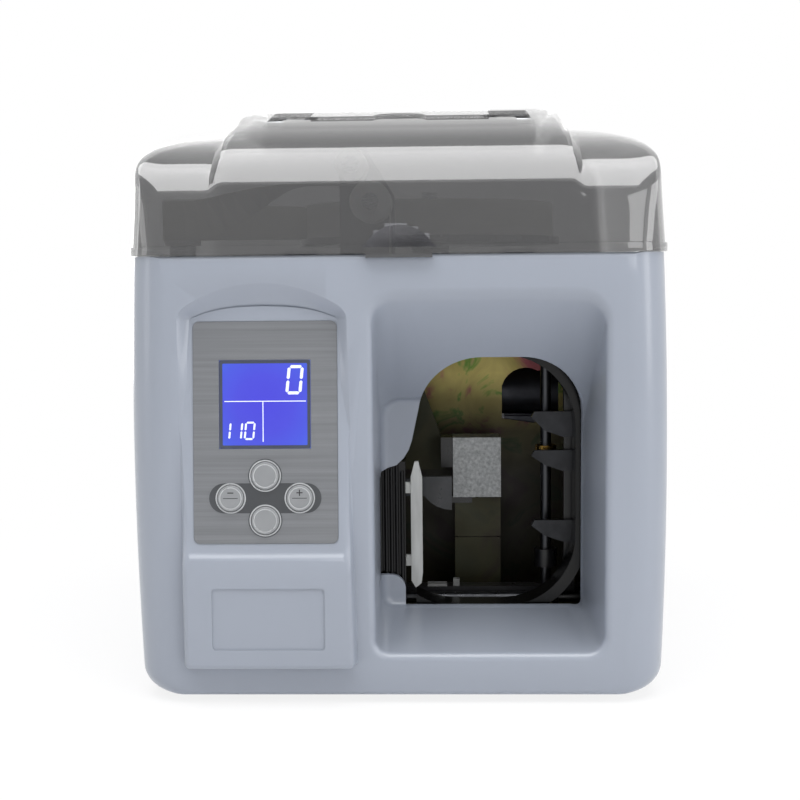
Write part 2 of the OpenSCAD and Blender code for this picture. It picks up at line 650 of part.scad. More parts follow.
// Tape from the roll round the post, twisting on its way to the guide roller, then down to the track
post_mid = roll_z + tape_w / 2 - 3;
in_a = atan2(post_y - reel_y, post_x - reel_x);
in_d = norm([post_x - reel_x, post_y - reel_y]);
in_t = in_a + 360 - acos((roll_r - post_r) / in_d);
web_t = tape_t / 2 + 0.35;
turn_r = post_r + web_t;
out_d = norm([keeper_x + 6 - post_x, tape_mid_y - post_y]);
out_a = atan2(tape_mid_y - post_y, keeper_x + 6 - post_x) + asin(turn_r / out_d);
top_web = guide_z + guide_r + web_t;
leave = [reel_x + (roll_r + web_t) * cos(in_t), reel_y + (roll_r + web_t) * sin(in_t)];
meet = [post_x + turn_r * cos(in_t), post_y + turn_r * sin(in_t)];
web_points = concat(
    [for (f = [0, 0.2]) [each leave + (meet - leave) * f, roll_z + tape_w / 2 + 0.4, 0]],
    [for (i = [0 : 14]) let (a = in_t + (out_a + 270 - in_t) * i / 14)
        [post_x + turn_r * cos(a), post_y + turn_r * sin(a), post_mid, 0]],
    [for (i = [1 : 14]) let (f = i / 14, g = min(1, f / 0.75), turned = g * g * (3 - 2 * g), a = out_a + 270,
        x0 = post_x + turn_r * cos(a), y0 = post_y + turn_r * sin(a))
        [x0 + (guide_x - 7 - x0) * f, y0 + (tape_mid_y - y0) * g, post_mid + (top_web - post_mid) * turned,
            90 * turned]],
    [for (i = [0 : 8]) let (a = 90 - 90 * i / 8)
        [guide_x + (guide_r + web_t) * cos(a), tape_mid_y, guide_z + (guide_r + web_t) * sin(a), 90]],
    [[guide_x + guide_r + web_t, tape_mid_y, head_z + 8, 90]]);
function along(i) = let (a = web_points[max(i - 1, 0)], b = web_points[min(i + 1, len(web_points) - 1)])
    unit([for (k = [0 : 2]) b[k] - a[k]]);
function web_ring(i) = let (p = web_points[i], t = along(i),
    flat = unit(cross(t, p[3] > 89 ? [0, 1, 0] : [0, 0, 1])), up = unit(cross(flat, t)),
    w = p[3] > 89 ? -up : cos(p[3]) * up + sin(p[3]) * flat, n = unit(cross(w, t)))
    [for (s = [[-1, -1], [1, -1], [1, 1], [-1, 1]])
        [for (k = [0 : 2]) p[k] + s[0] * w[k] * tape_w / 2 + s[1] * n[k] * tape_t / 2]];
module tape_web() color("#cfcdc4") {
    n = len(web_points);
    polyhedron([for (i = [0 : n - 1]) each web_ring(i)],
        concat([[0, 1, 2, 3]], [[4 * n - 1, 4 * n - 2, 4 * n - 3, 4 * n - 4]],
        [for (i = [0 : n - 2], k = [0 : 3]) let (a = 4 * i + k, b = 4 * i + (k + 1) % 4)
            each k == 2 ? [[a, a + 4, b + 4], [a, b + 4, b]] : [[a, a + 4, b], [b, a + 4, b + 4]]]));
}

roller_y0 = tape_mid_y - tape_w / 2 - 0.7;
roller_y1 = tape_mid_y + tape_w / 2 + 0.7;
bracket_y = roller_y1 + 3;
module guide_roller() color("#d6d5cd", 0.8) difference() {
    union() {
        rod_y(guide_x, roller_y0, roller_y1, guide_z, guide_r);
        rod_y(guide_x, roller_y0 - 2, roller_y0, guide_z, guide_r + 1.5);
        rod_y(guide_x, roller_y1, roller_y1 + 2, guide_z, guide_r + 1.5);
    }
    rod_y(guide_x, roller_y0 - 5, roller_y1 + 5, guide_z, 2.5 + run);
}
module keeper_roller() color("#d6d5cd", 0.8) difference() {
    rod_y(keeper_x, roller_y0 + 0.3, roller_y1 - 0.3, keeper_z, keeper_r);
    rod_y(keeper_x, roller_y0 - 5, roller_y1 + 5, keeper_z, 2.5 + run);
}
module roller_bracket() color("#4d4d52") {
    along_y(bracket_y, bracket_y + plate_t) polygon([
        [guide_x - 18, deck_z + deck_t], [guide_x + 12, deck_z + deck_t], [guide_x + 12, guide_z + 4],
        [keeper_x + 8, keeper_z + 8], [keeper_x - 8, keeper_z + 8], [guide_x - 18, guide_z + 4]]);
    box(guide_x - 18, guide_x + 12, bracket_y + plate_t, bracket_y + 16, deck_z + deck_t,
        deck_z + deck_t + plate_t);
}
module roller_screws() color("#9b9b9b") for (p = [[guide_x, guide_z, roller_y0 - 2.3],
    [keeper_x, keeper_z, roller_y0]]) {
    rod_y(p[0], p[2] - 2, bracket_y, p[1], 2.5);
    rod_y(p[0], p[2] - 3, p[2], p[1], 4.4);
}

module feed_bracket() color("#8f8c5a") for (y = [roller_y0 - 3.5, roller_y1 + 1.5]) difference() {
    union() {
        box(tape_x - pinch_r * 2 - 2, tape_x + feed_r * 2 + 2, y, y + plate_t, feed_z - 7, deck_z);
        box(tape_x - pinch_r * 2 - 2, tape_x + feed_r * 2 + 2, y > tape_mid_y ? y + plate_t : y - 6,
            y > tape_mid_y ? y + 8 : y,
            deck_z - plate_t, deck_z);
    }
    rod_y(tape_x + feed_r, y - 1, y + plate_t + 1, feed_z, 2 + run);
    rod_y(tape_x - pinch_r - 0.6, y - 1, y + plate_t + 1, feed_z, 2 + run);
}
module feed_roller() color("#3b3b3d") {
    rod_y(tape_x + feed_r, roller_y0 + 0.2, roller_y1 - 0.2, feed_z, feed_r - 0.25);
    rod_y(tape_x + feed_r, roller_y0 - 5, motor_y, feed_z, 2);
}
module pinch_roller() color("#303032") {
    rod_y(tape_x - pinch_r - 0.6, roller_y0 + 0.2, roller_y1 - 0.2, feed_z, pinch_r - 0.1);
    rod_y(tape_x - pinch_r - 0.6, roller_y0 - 5, roller_y1 + 5, feed_z, 2);
}
motor_y = rod_y + rod_r + 12;
module gear_motors() color("#8b8d90") {
    for (p = [[tape_x + feed_r, feed_z], [pinion_x, pinion_z]]) difference() {
        rod_y(p[0], motor_y, back_y - plate_t, p[1], motor_r);
        rod_y(p[0], motor_y - 1, motor_y + 8, p[1], 2 + run);
    }
}
motor_z = low_z + 136;
module drive_motor() color("#6e7073") {
    rod_x(46, 100, back_y + plate_t + 15.3, motor_z, 15);
    box(60, 86, back_y + plate_t, back_y + plate_t + 5, motor_z - 34, motor_z - 15);
    box(60, 86, back_y + plate_t + 5, back_y + plate_t + 26, motor_z - 20, motor_z - 14);
}

module mech_back_plate() color("#a8a25a") difference() {
    union() {
        box(plate_x0 + plate_t, plate_x1, back_y, back_y + plate_t, top_z, deck_z);
        box(plate_x0 + plate_t, plate_x1, back_y + plate_t, back_y + 14, top_z, top_z + plate_t);
        box(plate_x0 + plate_t, plate_x1, back_y + plate_t, back_y + 14, deck_z - plate_t, deck_z);
    }
    along_y(back_y - 1, back_y + plate_t + 1) polygon(concat([[58.5, motor_z - 16], [78, motor_z - 19],
        [93, motor_z - 12]], arc(85, motor_z + 8, 8, 0, 60, 4), arc(73, motor_z, 15, 60, 150, 6),
        [[58.5, motor_z + 4]]));
}
module side_plates() color("#a8a25a") for (x = [plate_x0, plate_x1]) difference() {
    box(x, x + plate_t, rod_y - 7, back_y + plate_t, top_z, deck_z);
    for (z = [rod_low_z, rod_high_z]) rod_x(x - 1, x + plate_t + 1, rod_y, z, rod_r + run);
}
module gusset_plate() color("#9a8a80") along_y(back_y - 22, back_y - 20.5) polygon([
    [plate_x0 + plate_t, low_z + 150], [9, low_z + 146], [22.3, low_z + 109], [22.3, low_z + 92],
    [plate_x0 + plate_t, low_z + 92]]);
module cross_rails() color("#1d1d1f") for (z = [rail_low_z, rail_high_z])
    box(plate_x0 + plate_t, plate_x1, rail_y, rail_y + rail_d, z, z + rail_h);
module rail_pad() color("#c9c9c7") {
    box(13, 24, rail_y, rail_y + 6, rail_low_z + rail_h, rail_low_z + rail_h + 1.5);
    box(27.5, 31, rail_y + 1, rail_y + 5, rail_low_z + rail_h, rail_low_z + rail_h + 4);
}

stop_x = 28;
stop_y = front_y + 120;
stop_z = low_z + 79;
module stop_block() color("#a9abaf") difference() {
    box(stop_x, stop_x + stop_w, stop_y, stop_y + 20, stop_z, stop_z + stop_h);
    box(stop_x + stop_w / 2 - 0.8, stop_x + stop_w / 2 + 0.8, stop_y - 1, stop_y + 0.7, stop_z - 1,
        stop_z + stop_h + 1);
}
module stop_pad() color("#18181a") {
    box(stop_x - 7, stop_x, stop_y + 1, stop_y + 18, stop_z + stop_h / 2, stop_z + stop_h);
    box(stop_x - 1.5, stop_x + 11, stop_y + 1, stop_y + 4.7, stop_z - 3.5, stop_z);
}
module stop_bracket() color("#8a7a48") {
    box(stop_x + 1, stop_x + stop_w, stop_y + 5, stop_y + 20, top_z + 50, stop_z);
    box(stop_x + 1, stop_x + stop_w, stop_y + 5.8, stop_y + 20, top_z, top_z + 49.2);
    box(stop_x + 1, stop_x + stop_w, stop_y + 7, back_y, top_z, top_z + plate_t);
    box(stop_x + 3, stop_x + stop_w - 2, stop_y + 7, stop_y + 18, top_z + 49, top_z + 51);
}

track_x = recess_x0 - 1.3;
module left_track() color("#19191b") difference() {
    union() {
        box(track_x, track_x + 15, track_y0 + 1, track_y1, top_z, low_z + 108);
        for (i = [0 : 4]) rod_z(track_x + 1.6 + i * 2.9, track_y0 + 1, top_z,
            low_z + 107 - (i == 4 ? 4 : 0), 1.1);
    }
    box(tape_x - 0.7, tape_x + 0.9, track_y0 + 1.3, track_y1 + 1, low_z + 50, low_z + 110);
}
module track_outline(e) slab(recess_x0 + 2 - e, track_z0 - e, track_x1 - 1 + e, track_z1 + e, track_r + e);
module tape_track() color("#1b1b1d") {
    difference() {
        along_y(track_y0, track_y1) difference() {
            track_outline(track_wall);
            track_outline(0);
        }
        box(recess_x0 - 20, track_x + 20.5, track_y0 - 1, track_y1 + 1, low_z, rim_z);
    }
    for (x = [30, 66]) box(x, x + 10, track_y0 + 1, track_y1 - 1, top_z, track_z0 - track_wall / 2);
}
press_x = track_x + 17.8;
press_w = 6.2;
press_y = track_y0 + 5;
module press_plate() color("#b9bbbd") {
    along_y(press_y, press_y + 4) polygon([
        [press_x + 2.3, low_z + 38], [press_x + press_w - 0.8, low_z + 40.5], [press_x + press_w, low_z + 46],
        [press_x + press_w, low_z + 99], [press_x + press_w - 2, low_z + 107.5],
        [press_x + 2.2, low_z + 107.5], [press_x, low_z + 99], [press_x, low_z + 42]]);
    for (z = [50, 90]) box(track_x + 15, press_x + 1, press_y + 1, press_y + 3, low_z + z, low_z + z + 6);
}

jaw_x = 80;
jaw_y = rail_y + rail_d / 2;
module guide_rods() color("#9a9c9f") {
    for (z = [rod_low_z, rod_high_z]) rod_x(plate_x0 - 4, plate_x1 + plate_t + 4, rod_y, z, rod_r);
    rod_z(jaw_x, jaw_y, rail_low_z + rail_h, rail_high_z, 3);
}
module brass_bush() color("#b08f4a") difference() {
    rod_z(jaw_x, jaw_y, low_z + 105, low_z + 112, 6);
    rod_z(jaw_x, jaw_y, low_z + 104, low_z + 113, 3);
}
module adjust_knob() color("#2a2a2c") difference() {
    rod_z(jaw_x, jaw_y, low_z + 43, low_z + 53, 6.3);
    rod_z(jaw_x, jaw_y, low_z + 42, low_z + 54, 3);
}
module tape_fin() color("#9fa3a6", 0.6) {
    along_y(rail_y - 1, rail_y + 2) polygon(concat([[10, low_z + 95]], [[27, low_z + 95]],
        arc(27, low_z + 95, 19, 270, 190, 6)));
    box(plate_x0 + plate_t, 12, rail_y - 1, rail_y + 2, low_z + 84, low_z + 94);
}

pitch = PI * gear_m;
module clamp_carriage() color("#26262a") difference() {
    union() {
        box(bar_x, bar_x + bar_w, rod_y - bar_w / 2, rod_y + bar_w / 2, rod_low_z, rod_high_z);
        for (z = [rod_low_z, rod_high_z]) rod_x(bar_x - 3, bar_x + bar_w + 3, rod_y, z, rod_r + 2);
        box(bar_x - 27, bar_x + bar_w + 12, rod_y - 2, rod_y + 2, rod_high_z + 3.5, rod_high_z + 6);
        box(bar_x - 27, bar_x + bar_w + 12, rod_y + 2, pinion_y + 7, rod_high_z + 3.5, rack_z - gear_m);
        for (i = [-9 : 3]) along_y(pinion_y + 1, pinion_y + 7)
            translate([bar_x + bar_w / 2 + 4 + i * pitch, rack_z - gear_m - 0.01])
            polygon([[-0.29 * pitch, -0.2], [0.29 * pitch, -0.2], [0.11 * pitch, 1.85 * gear_m],
                [-0.11 * pitch, 1.85 * gear_m]]);
    }
    for (z = [rod_low_z, rod_high_z]) rod_x(bar_x - 4, bar_x + bar_w + 4, rod_y, z, rod_r + run);
}
finger_z = [low_z + 118.5, low_z + 99.5, low_z + 60];
module jaw_fingers() color("#2e2e31") for (i = [0 : 2]) {
    h = [14, 11.5, 12][i];
    along_y(rod_y - bar_w / 2 - finger_t, rod_y - bar_w / 2) polygon([
        [bar_x + bar_w - 1, finger_z[i] + h], [72.5, finger_z[i] + h], [70.8, finger_z[i] + h - 3],
        [78, finger_z[i] + 3.5], [88, finger_z[i]], [bar_x + bar_w - 1, finger_z[i]]]);
}
module clamp_pinion() color("#8f8f92") {
    rod_y(pinion_x, pinion_y + 1.5, pinion_y + 6.5, pinion_z, pinion_r - 1.15 * gear_m);
    rod_y(pinion_x, pinion_y, motor_y + 6, pinion_z, 2);
    for (i = [0 : pinion_teeth - 1]) along_y(pinion_y + 1.5, pinion_y + 6.5)
        translate([pinion_x, pinion_z]) rotate(-90 + tooth_turn + i * 360 / pinion_teeth)
            polygon([[pinion_r - 1.4 * gear_m, -0.27 * pitch], [pinion_r + 0.8 * gear_m, -0.1 * pitch],
                [pinion_r + 0.8 * gear_m, 0.1 * pitch], [pinion_r - 1.4 * gear_m, 0.27 * pitch]]);
}
rack_gap = bar_x + bar_w / 2 + 4 - pitch / 2 - pinion_x;
tooth_turn = (rack_gap - pitch * floor(rack_gap / pitch)) / pinion_r * 180 / PI;

module seal_head() color("#8d8f92") {
    box(track_x - 26, track_x - 6, track_y0 + 3, track_y1 - 3, head_z - 10, head_z + 10);
    rod_x(track_x - 62, track_x - 26, tape_mid_y, head_z, 2.5);
}
module cutter_blade() color("#c7c9cb") along_y(track_y0 + 5, track_y1 - 5) polygon([
    [track_x - 18, head_z + 10], [track_x - 8, head_z + 10], [track_x - 6, head_z + 12.5],
    [track_x - 18, head_z + 12.5]]);
module head_guide() color("#a8a25a") {
    box(track_x - 30, track_x - 16, track_y0 + 1, track_y1 + 5, head_z - 12, head_z - 10);
    box(track_x - 30, track_x - 16, track_y1 + 3, track_y1 + 5, top_z, head_z - 12);
}
module head_solenoid() color("#3a3a3d") difference() {
    union() {
        rod_x(track_x - 70, track_x - 40, tape_mid_y, head_z, 11);
        box(track_x - 72, track_x - 38, track_y1 - 2, track_y1 + 5, top_z, head_z + 4);
    }
    rod_x(track_x - 66, track_x - 30, tape_mid_y, head_z, 2.5 + run);
}
module cover_screws() color("#8a8a8c") {
    for (x = [-foot_x, foot_x], y = [front_y + 31, rear_y - 24]) rod_z(x * 0.7, y, low_z + 0.8, base_z, 3);
    for (s = [-1, 1], z = [low_z + 60, rim_z - 28])
        rod_y(s * (body_w / 2 - 22), rear_y, rear_y + 1.6, z, 3.4);
}

front_cover();
rear_cover();
base_plate();
feet();
top_deck();
lid();
hinge_brackets();
hinge_pins();
grip_handle();
grip_pins();
control_panel();
display_window();
display_module();
panel_board();
key_top();
key_bottom();
key_left();
key_right();
power_inlet();
switch_body();
power_rocker();
transformer();
control_board();
turntable();
tape_roll();
deck_spindles();
guide_post();
tape_web();
guide_roller();
keeper_roller();
roller_bracket();
roller_screws();
feed_bracket();
feed_roller();
pinch_roller();
gear_motors();
drive_motor();
mech_back_plate();
side_plates();
gusset_plate();
cross_rails();
rail_pad();
stop_block();
stop_pad();
stop_bracket();
left_track();
tape_track();
press_plate();
guide_rods();
brass_bush();
adjust_knob();
tape_fin();
clamp_carriage();
jaw_fingers();
clamp_pinion();
seal_head();
cutter_blade();
head_guide();
head_solenoid();
cover_screws();
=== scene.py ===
# Desktop banknote strapping machine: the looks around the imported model, in metres, written in millimetres.
from math import asin, atan2, ceil, copysign, cos, degrees, pi, radians, sin, sqrt, tan
import bpy
import bmesh
import numpy as np
from mathutils import Matrix, Vector, geometry


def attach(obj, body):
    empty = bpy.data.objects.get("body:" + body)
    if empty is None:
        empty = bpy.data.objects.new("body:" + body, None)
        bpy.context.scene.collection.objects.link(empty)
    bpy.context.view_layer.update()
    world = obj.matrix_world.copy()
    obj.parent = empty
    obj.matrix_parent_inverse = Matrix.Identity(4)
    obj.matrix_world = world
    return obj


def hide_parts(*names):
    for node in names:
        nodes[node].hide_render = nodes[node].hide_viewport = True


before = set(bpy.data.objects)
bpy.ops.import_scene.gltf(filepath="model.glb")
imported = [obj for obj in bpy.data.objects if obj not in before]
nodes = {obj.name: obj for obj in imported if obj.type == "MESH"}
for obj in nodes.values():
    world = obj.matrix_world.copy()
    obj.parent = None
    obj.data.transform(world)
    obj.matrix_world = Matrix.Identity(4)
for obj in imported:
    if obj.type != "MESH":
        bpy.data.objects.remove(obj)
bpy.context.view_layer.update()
print("frame loaded:", len(nodes), "nodes")

# values shared by several pieces, mm
body = dict(halfWidth=133.98, bulge=2.5, low=4.0, rim=222.0, front=-137.0, rear=137.0, seam=-61.0, wall=2.8,
            cornerRadius=22.0, rearRadius=12.0, baseRadius=12.0, edgeRadius=2.6)
console = dict(left=-107.0, right=-21.0, rightUpper=-24.2, low=18.6, stepHeight=73.5, stepRise=5.0,
               block=-145.0, lean=-142.5, tilt=5.5, archTop=208.8, archRadius=68.0, footRadius=4.0,
               shoulderRadius=8.0, label=(-91.7, 29.4, -36.3, 60.2))
recess = dict(left=-12.0, right=101.5, low=24.7, high=202.5, depth=60.0, rise=10.0, draft=5.4,
              rimRadius=3.6, hollow=5.0)
panel = dict(middle=-64.7, width=70.6, low=3.6, height=108.5, windowMiddle=-64.8, windowLow=50.1,
             windowWidth=44.5, windowHeight=43.0, keysMiddle=-64.9, keysHeight=25.8, rise=10.9, reach=16.9,
             keyRadius=6.8, sideKeyRadius=6.45)
lid = dict(half=132.5, low=222.3, height=83.2, skirt=20.0, crownHalf=91.5, crownStep=9.5, wall=2.5,
           flange=4.5, proud=0.8, scoop=(1.5, -152.0, 218.3, 24.0), tabMiddle=1.5, hingeX=75.0,
           hingeY=141.5, hingeZ=226.0, hingeBore=1.65)


# materials
def linear(rgb):  # 0-255 as seen on screen to scene colour
    shares = [c / 255 for c in rgb]
    return [c / 12.92 if c <= 0.04045 else ((c + 0.055) / 1.055) ** 2.4 for c in shares] + [1.0]


def addNode(tree, kind, values=None, **settings):
    node = tree.nodes.new(kind)
    for key, value in settings.items():
        setattr(node, key, value)
    for key, value in (values or {}).items():
        node.inputs[key].default_value = value
    return node


def connect(tree, *pairs):
    for source, target in pairs:
        tree.links.new(source, target)


def rampNode(tree, source, places, colours):
    node = addNode(tree, "ShaderNodeValToRGB")
    ramp = node.color_ramp
    while len(ramp.elements) < len(places):
        ramp.elements.new(0.5)
    for element, position, rgb in zip(ramp.elements, places, colours):
        element.position = position
        element.color = linear(rgb)
    tree.links.new(source, node.inputs["Fac"])
    return node.outputs["Color"]


def noiseOn(tree, scale, detail=3.0, stretch=(1, 1, 1), warp=0.0):
    place = addNode(tree, "ShaderNodeTexCoord")
    mapping = addNode(tree, "ShaderNodeMapping", {"Scale": stretch})
    noise = addNode(tree, "ShaderNodeTexNoise",
                    {"Scale": scale, "Detail": detail, "Roughness": 0.55, "Distortion": warp})
    connect(tree, (place.outputs["Object"], mapping.inputs["Vector"]),
            (mapping.outputs["Vector"], noise.inputs["Vector"]))
    return noise.outputs["Fac"]


def finish(name, *colours, at=None, scale=60.0, stretch=(1, 1, 1), warp=0.0, detail=3.0, metal=0.0,
           rough=(0.3, 0.4), roughScale=None, bump=0.0, bumpScale=600.0, bumpStretch=(1, 1, 1),
           bumpDepth=0.0002, **sockets):
    material = bpy.data.materials.new(name)
    material.use_nodes = True
    tree = material.node_tree
    shader = tree.nodes["Principled BSDF"]
    places = at or np.linspace(0.3, 0.7, len(colours))
    colour = rampNode(tree, noiseOn(tree, scale, detail, stretch, warp), places, colours)
    spread = addNode(tree, "ShaderNodeMapRange",
                     {"To Min": rough[0], "To Max": rough[1], "From Min": 0.3, "From Max": 0.7})
    connect(tree, (colour, shader.inputs["Base Color"]),
            (noiseOn(tree, roughScale or scale * 2.3, 2.0, stretch), spread.inputs["Value"]),
            (spread.outputs["Result"], shader.inputs["Roughness"]))
    shader.inputs["Metallic"].default_value = metal
    if bump:
        lift = addNode(tree, "ShaderNodeBump", {"Strength": bump, "Distance": bumpDepth})
        connect(tree, (noiseOn(tree, bumpScale, 2.0, bumpStretch), lift.inputs["Height"]),
                (lift.outputs["Normal"], shader.inputs["Normal"]))
    for key, value in sockets.items():
        shader.inputs[key.replace("_", " ")].default_value = value
    return material


# mesh helpers
def smoothStep(x):
    x = min(1.0, max(0.0, x))
    return x * x * (3 - 2 * x)


def makePiece(name, shape, rides=None, material=None, *replaced, merge=0.01, outward=True):
    mesh = bpy.data.meshes.new(name)
    mesh.from_pydata([tuple(c / 1000 for c in p) for p in shape[0]], [], shape[1])
    work = bmesh.new()
    work.from_mesh(mesh)
    bmesh.ops.remove_doubles(work, verts=work.verts, dist=merge / 1000)
    bmesh.ops.dissolve_degenerate(work, dist=merge / 2000, edges=work.edges)
    if outward:
        bmesh.ops.recalc_face_normals(work, faces=work.faces)
    work.to_mesh(mesh)
    work.free()
    piece = addObject(name, mesh)
    softEdges(piece)
    if rides:
        dress(piece, rides, material, *replaced)
    return piece


def addObject(name, data):
    piece = bpy.data.objects.new(name, data)
    bpy.context.scene.collection.objects.link(piece)
    return piece


def dress(piece, rides, material, *replaced):
    piece.data.materials.clear()
    piece.data.materials.append(material)
    for face in piece.data.polygons:
        face.material_index = 0
    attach(piece, rides)
    if replaced:
        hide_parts(*replaced)


def softEdges(piece, angle=32.0):
    work = bmesh.new()
    work.from_mesh(piece.data)
    limit = radians(angle)
    for edge in work.edges:
        edge.smooth = len(edge.link_faces) == 2 and edge.calc_face_angle(0) < limit
    for face in work.faces:
        face.smooth = True
    work.to_mesh(piece.data)
    work.free()


def applyModifiers(piece):  # the evaluated mesh takes the place of the mesh and its modifiers
    view = bpy.context.evaluated_depsgraph_get()
    view.update()
    mesh = bpy.data.meshes.new_from_object(piece.evaluated_get(view), depsgraph=view)
    piece.modifiers.clear()
    piece.data = mesh


def thicken(piece, wall):
    shell = piece.modifiers.new("wall", "SOLIDIFY")
    shell.thickness = wall / 1000
    shell.offset = -1
    shell.use_quality_normals = True
    applyModifiers(piece)


def cutAway(piece, cutter, way="DIFFERENCE"):
    cut = piece.modifiers.new("cut", "BOOLEAN")
    cut.operation = way
    cut.solver = "EXACT"
    cut.object = cutter
    applyModifiers(piece)
    bpy.data.objects.remove(cutter)
    softEdges(piece)


def stitch(rings, closed=True):  # faces between rings of the same length, numbered one after another
    n = len(rings[0])
    faces = []
    for k in range(len(rings) - 1):
        for i in range(n if closed else n - 1):
            j = (i + 1) % n
            faces.append((k * n + i, k * n + j, (k + 1) * n + j, (k + 1) * n + i))
    return [p for ring in rings for p in ring], faces


def joinParts(*parts):
    points, faces = [], []
    for more, these in parts:
        faces += [tuple(i + len(points) for i in f) for f in these]
        points += list(more)
    return points, faces


def capped(rings):  # a stack of rings, closed at both ends
    points, faces = stitch(rings)
    n, total = len(rings[0]), len(points)
    return points, faces + [tuple(range(n)), tuple(range(total - 1, total - n - 1, -1))]


def evenAngles(n):  # even angles round a circle
    return [2 * pi * i / n for i in range(n)]


def fillFlat(loops, depth, extra=()):  # a sheet between closed loops of (x, z); the first is its outside
    flat, edges = [], []
    for loop in loops:
        start = len(flat)
        flat += [Vector(p) for p in loop]
        edges += [(start + i, start + (i + 1) % len(loop)) for i in range(len(loop))]
    for a, b in extra:
        edges.append((len(flat), len(flat) + 1))
        flat += [Vector(a), Vector(b)]
    verts, _, faces, _, _, _ = geometry.delaunay_2d_cdt(flat, edges, [], 0, 1e-4)
    outer, holes = loops[0], loops[1:]
    kept = []
    for f in faces:
        c = sum((verts[i] for i in f), Vector((0, 0))) / len(f)
        if inside(outer, c) and not any(inside(h, c) for h in holes):
            kept.append(tuple(f))
    return [(v.x, depth(v.x, v.y), v.y) for v in verts], kept


def inside(loop, p):
    hit = False
    for i in range(len(loop)):
        a, b = loop[i - 1], loop[i]
        if (a[1] > p[1]) != (b[1] > p[1]) and p[0] < (b[0] - a[0]) * (p[1] - a[1]) / (b[1] - a[1]) + a[0]:
            hit = not hit
    return hit


def arc(cx, cy, r, a0, a1, n):
    angles = [radians(a0 + (a1 - a0) * i / n) for i in range(n + 1)]
    return [(cx + r * cos(a), cy + r * sin(a)) for a in angles]


def roundedBox(x0, z0, x1, z1, r, n=6):
    a, b, c, d = r if isinstance(r, (list, tuple)) else [r] * 4  # from the lower left corner round to the right
    return (arc(x0 + a, z0 + a, a, 180, 270, n) + arc(x1 - b, z0 + b, b, 270, 360, n)
            + arc(x1 - c, z1 - c, c, 0, 90, n) + arc(x0 + d, z1 - d, d, 90, 180, n))


def offsetLoop(loop, e):  # each point moved inwards by e, which may be one value for each point
    out = []
    for i, p in enumerate(loop):
        a, b = Vector(loop[i - 1]), Vector(loop[(i + 1) % len(loop)])
        t = (b - a).normalized()
        d = e[i] if hasattr(e, "__len__") else e
        out.append((p[0] - t.y * d, p[1] + t.x * d))
    return out


def resample(loop, step):  # evenly spaced points on a closed loop, keeping its corners
    out = []
    for i in range(len(loop)):
        a, b = Vector(loop[i]), Vector(loop[(i + 1) % len(loop)])
        n = max(1, ceil((b - a).length / step))
        out += [tuple(a.lerp(b, k / n)) for k in range(n)]
    return out


def prism(loop, y0, y1):  # closed block along Y
    return capped([[(x, y, z) for x, z in loop] for y in (y0, y1)])


def block(x0, x1, y0, y1, z0, z1):
    return prism([(x0, z0), (x1, z0), (x1, z1), (x0, z1)], y0, y1)


# covers of the body
bodyMiddle = (body["low"] + body["rim"]) / 2
bodyHalf = (body["rim"] - body["low"]) / 2
rimPoints = 25  # along the open rim


def halfWidth(z):  # the sides bulge like a barrel
    return body["halfWidth"] - body["bulge"] * ((z - bodyMiddle) / bodyHalf) ** 2


def bodyOutline():  # from the upper right corner round the bottom to the upper left, then back along the rim
    low, r = body["low"], body["baseRadius"]
    x = halfWidth(low + r) - r
    right = [(halfWidth(z), z) for z in np.linspace(body["rim"], low + r, 24)]
    right += [(x + r * cos(a), low + r - r * sin(a)) for a in np.linspace(0, pi / 2, 9)[1:]]
    left = [(-p[0], p[1]) for p in reversed(right)]
    floor = [(v, low) for v in np.linspace(x, -x, 27)[1:-1]]
    rim = [(v, body["rim"]) for v in np.linspace(left[-1][0], right[0][0], rimPoints + 2)[1:-1]]
    return right + floor + left + rim


def wrapRing(outline, distance, radius):  # the outline this far behind a face with rounded upright corners
    r, e = radius, body["edgeRadius"]
    inX = r - sqrt(max(0.0, r * r - max(0.0, r - distance) ** 2))
    inZ = e - sqrt(max(0.0, e * e - max(0.0, e - distance) ** 2))
    wide = 1 - inX / body["halfWidth"]
    return [(x * wide, z + (bodyMiddle - z) * inZ / bodyHalf) for x, z in outline]


def wrapSheet(face, end, radius):  # rings from a face back to the seam; the rim is open behind its rounded edge
    outline = bodyOutline()
    away = 1 if end > face else -1
    steps = [0, 0.1, 0.35, 0.75, 1.3, 1.9, body["edgeRadius"], 4, 6, 8.5, 11.5, 15, 18.5, 22]
    steps = [d for d in steps if d < radius] + [radius, abs(end - face)]
    if steps[-1] - steps[-2] > 60:
        steps[-1:] = [steps[-2] + 30, abs(end - face)]
    rings = [[(x, face + away * d, z) for x, z in wrapRing(outline, d, radius)] for d in steps]
    points, faces = stitch(rings)
    n = len(outline)
    rimStart = n - rimPoints - 1

    def kept(f):
        k, i = divmod(f[0], n)
        return i < rimStart or steps[k + 1] <= body["edgeRadius"] + 0.01
    return points, [f for f in faces if kept(f)], wrapRing(outline, 0, radius)


def consoleDepth(z):
    low, lean, above = console["block"], console["lean"], z - console["stepHeight"]
    if above <= console["stepRise"]:
        return low + (lean - low) * smoothStep(above / console["stepRise"])
    return lean + (above - console["stepRise"]) * tan(radians(console["tilt"]))


def consoleOutline():
    left, right, upper, radius = (console[k] for k in ("left", "right", "rightUpper", "archRadius"))
    low, r = console["footRadius"], console["shoulderRadius"]
    centre = console["archTop"] - radius
    middle = (left + upper) / 2
    s = middle - left - r
    h = sqrt((radius - r) ** 2 - s * s)
    a = degrees(atan2(h, s))
    loop = (arc(left + low, console["low"] + low, low, 180, 270, 6)
            + arc(right - low, console["low"] + low, low, 270, 360, 6)
            + arc(upper - r, centre + h, r, 0, a, 8) + arc(middle, centre, radius, a, 180 - a, 26)[1:-1]
            + arc(left + r, centre + h, r, 180 - a, 180, 8))
    return resample(loop, 5.0)


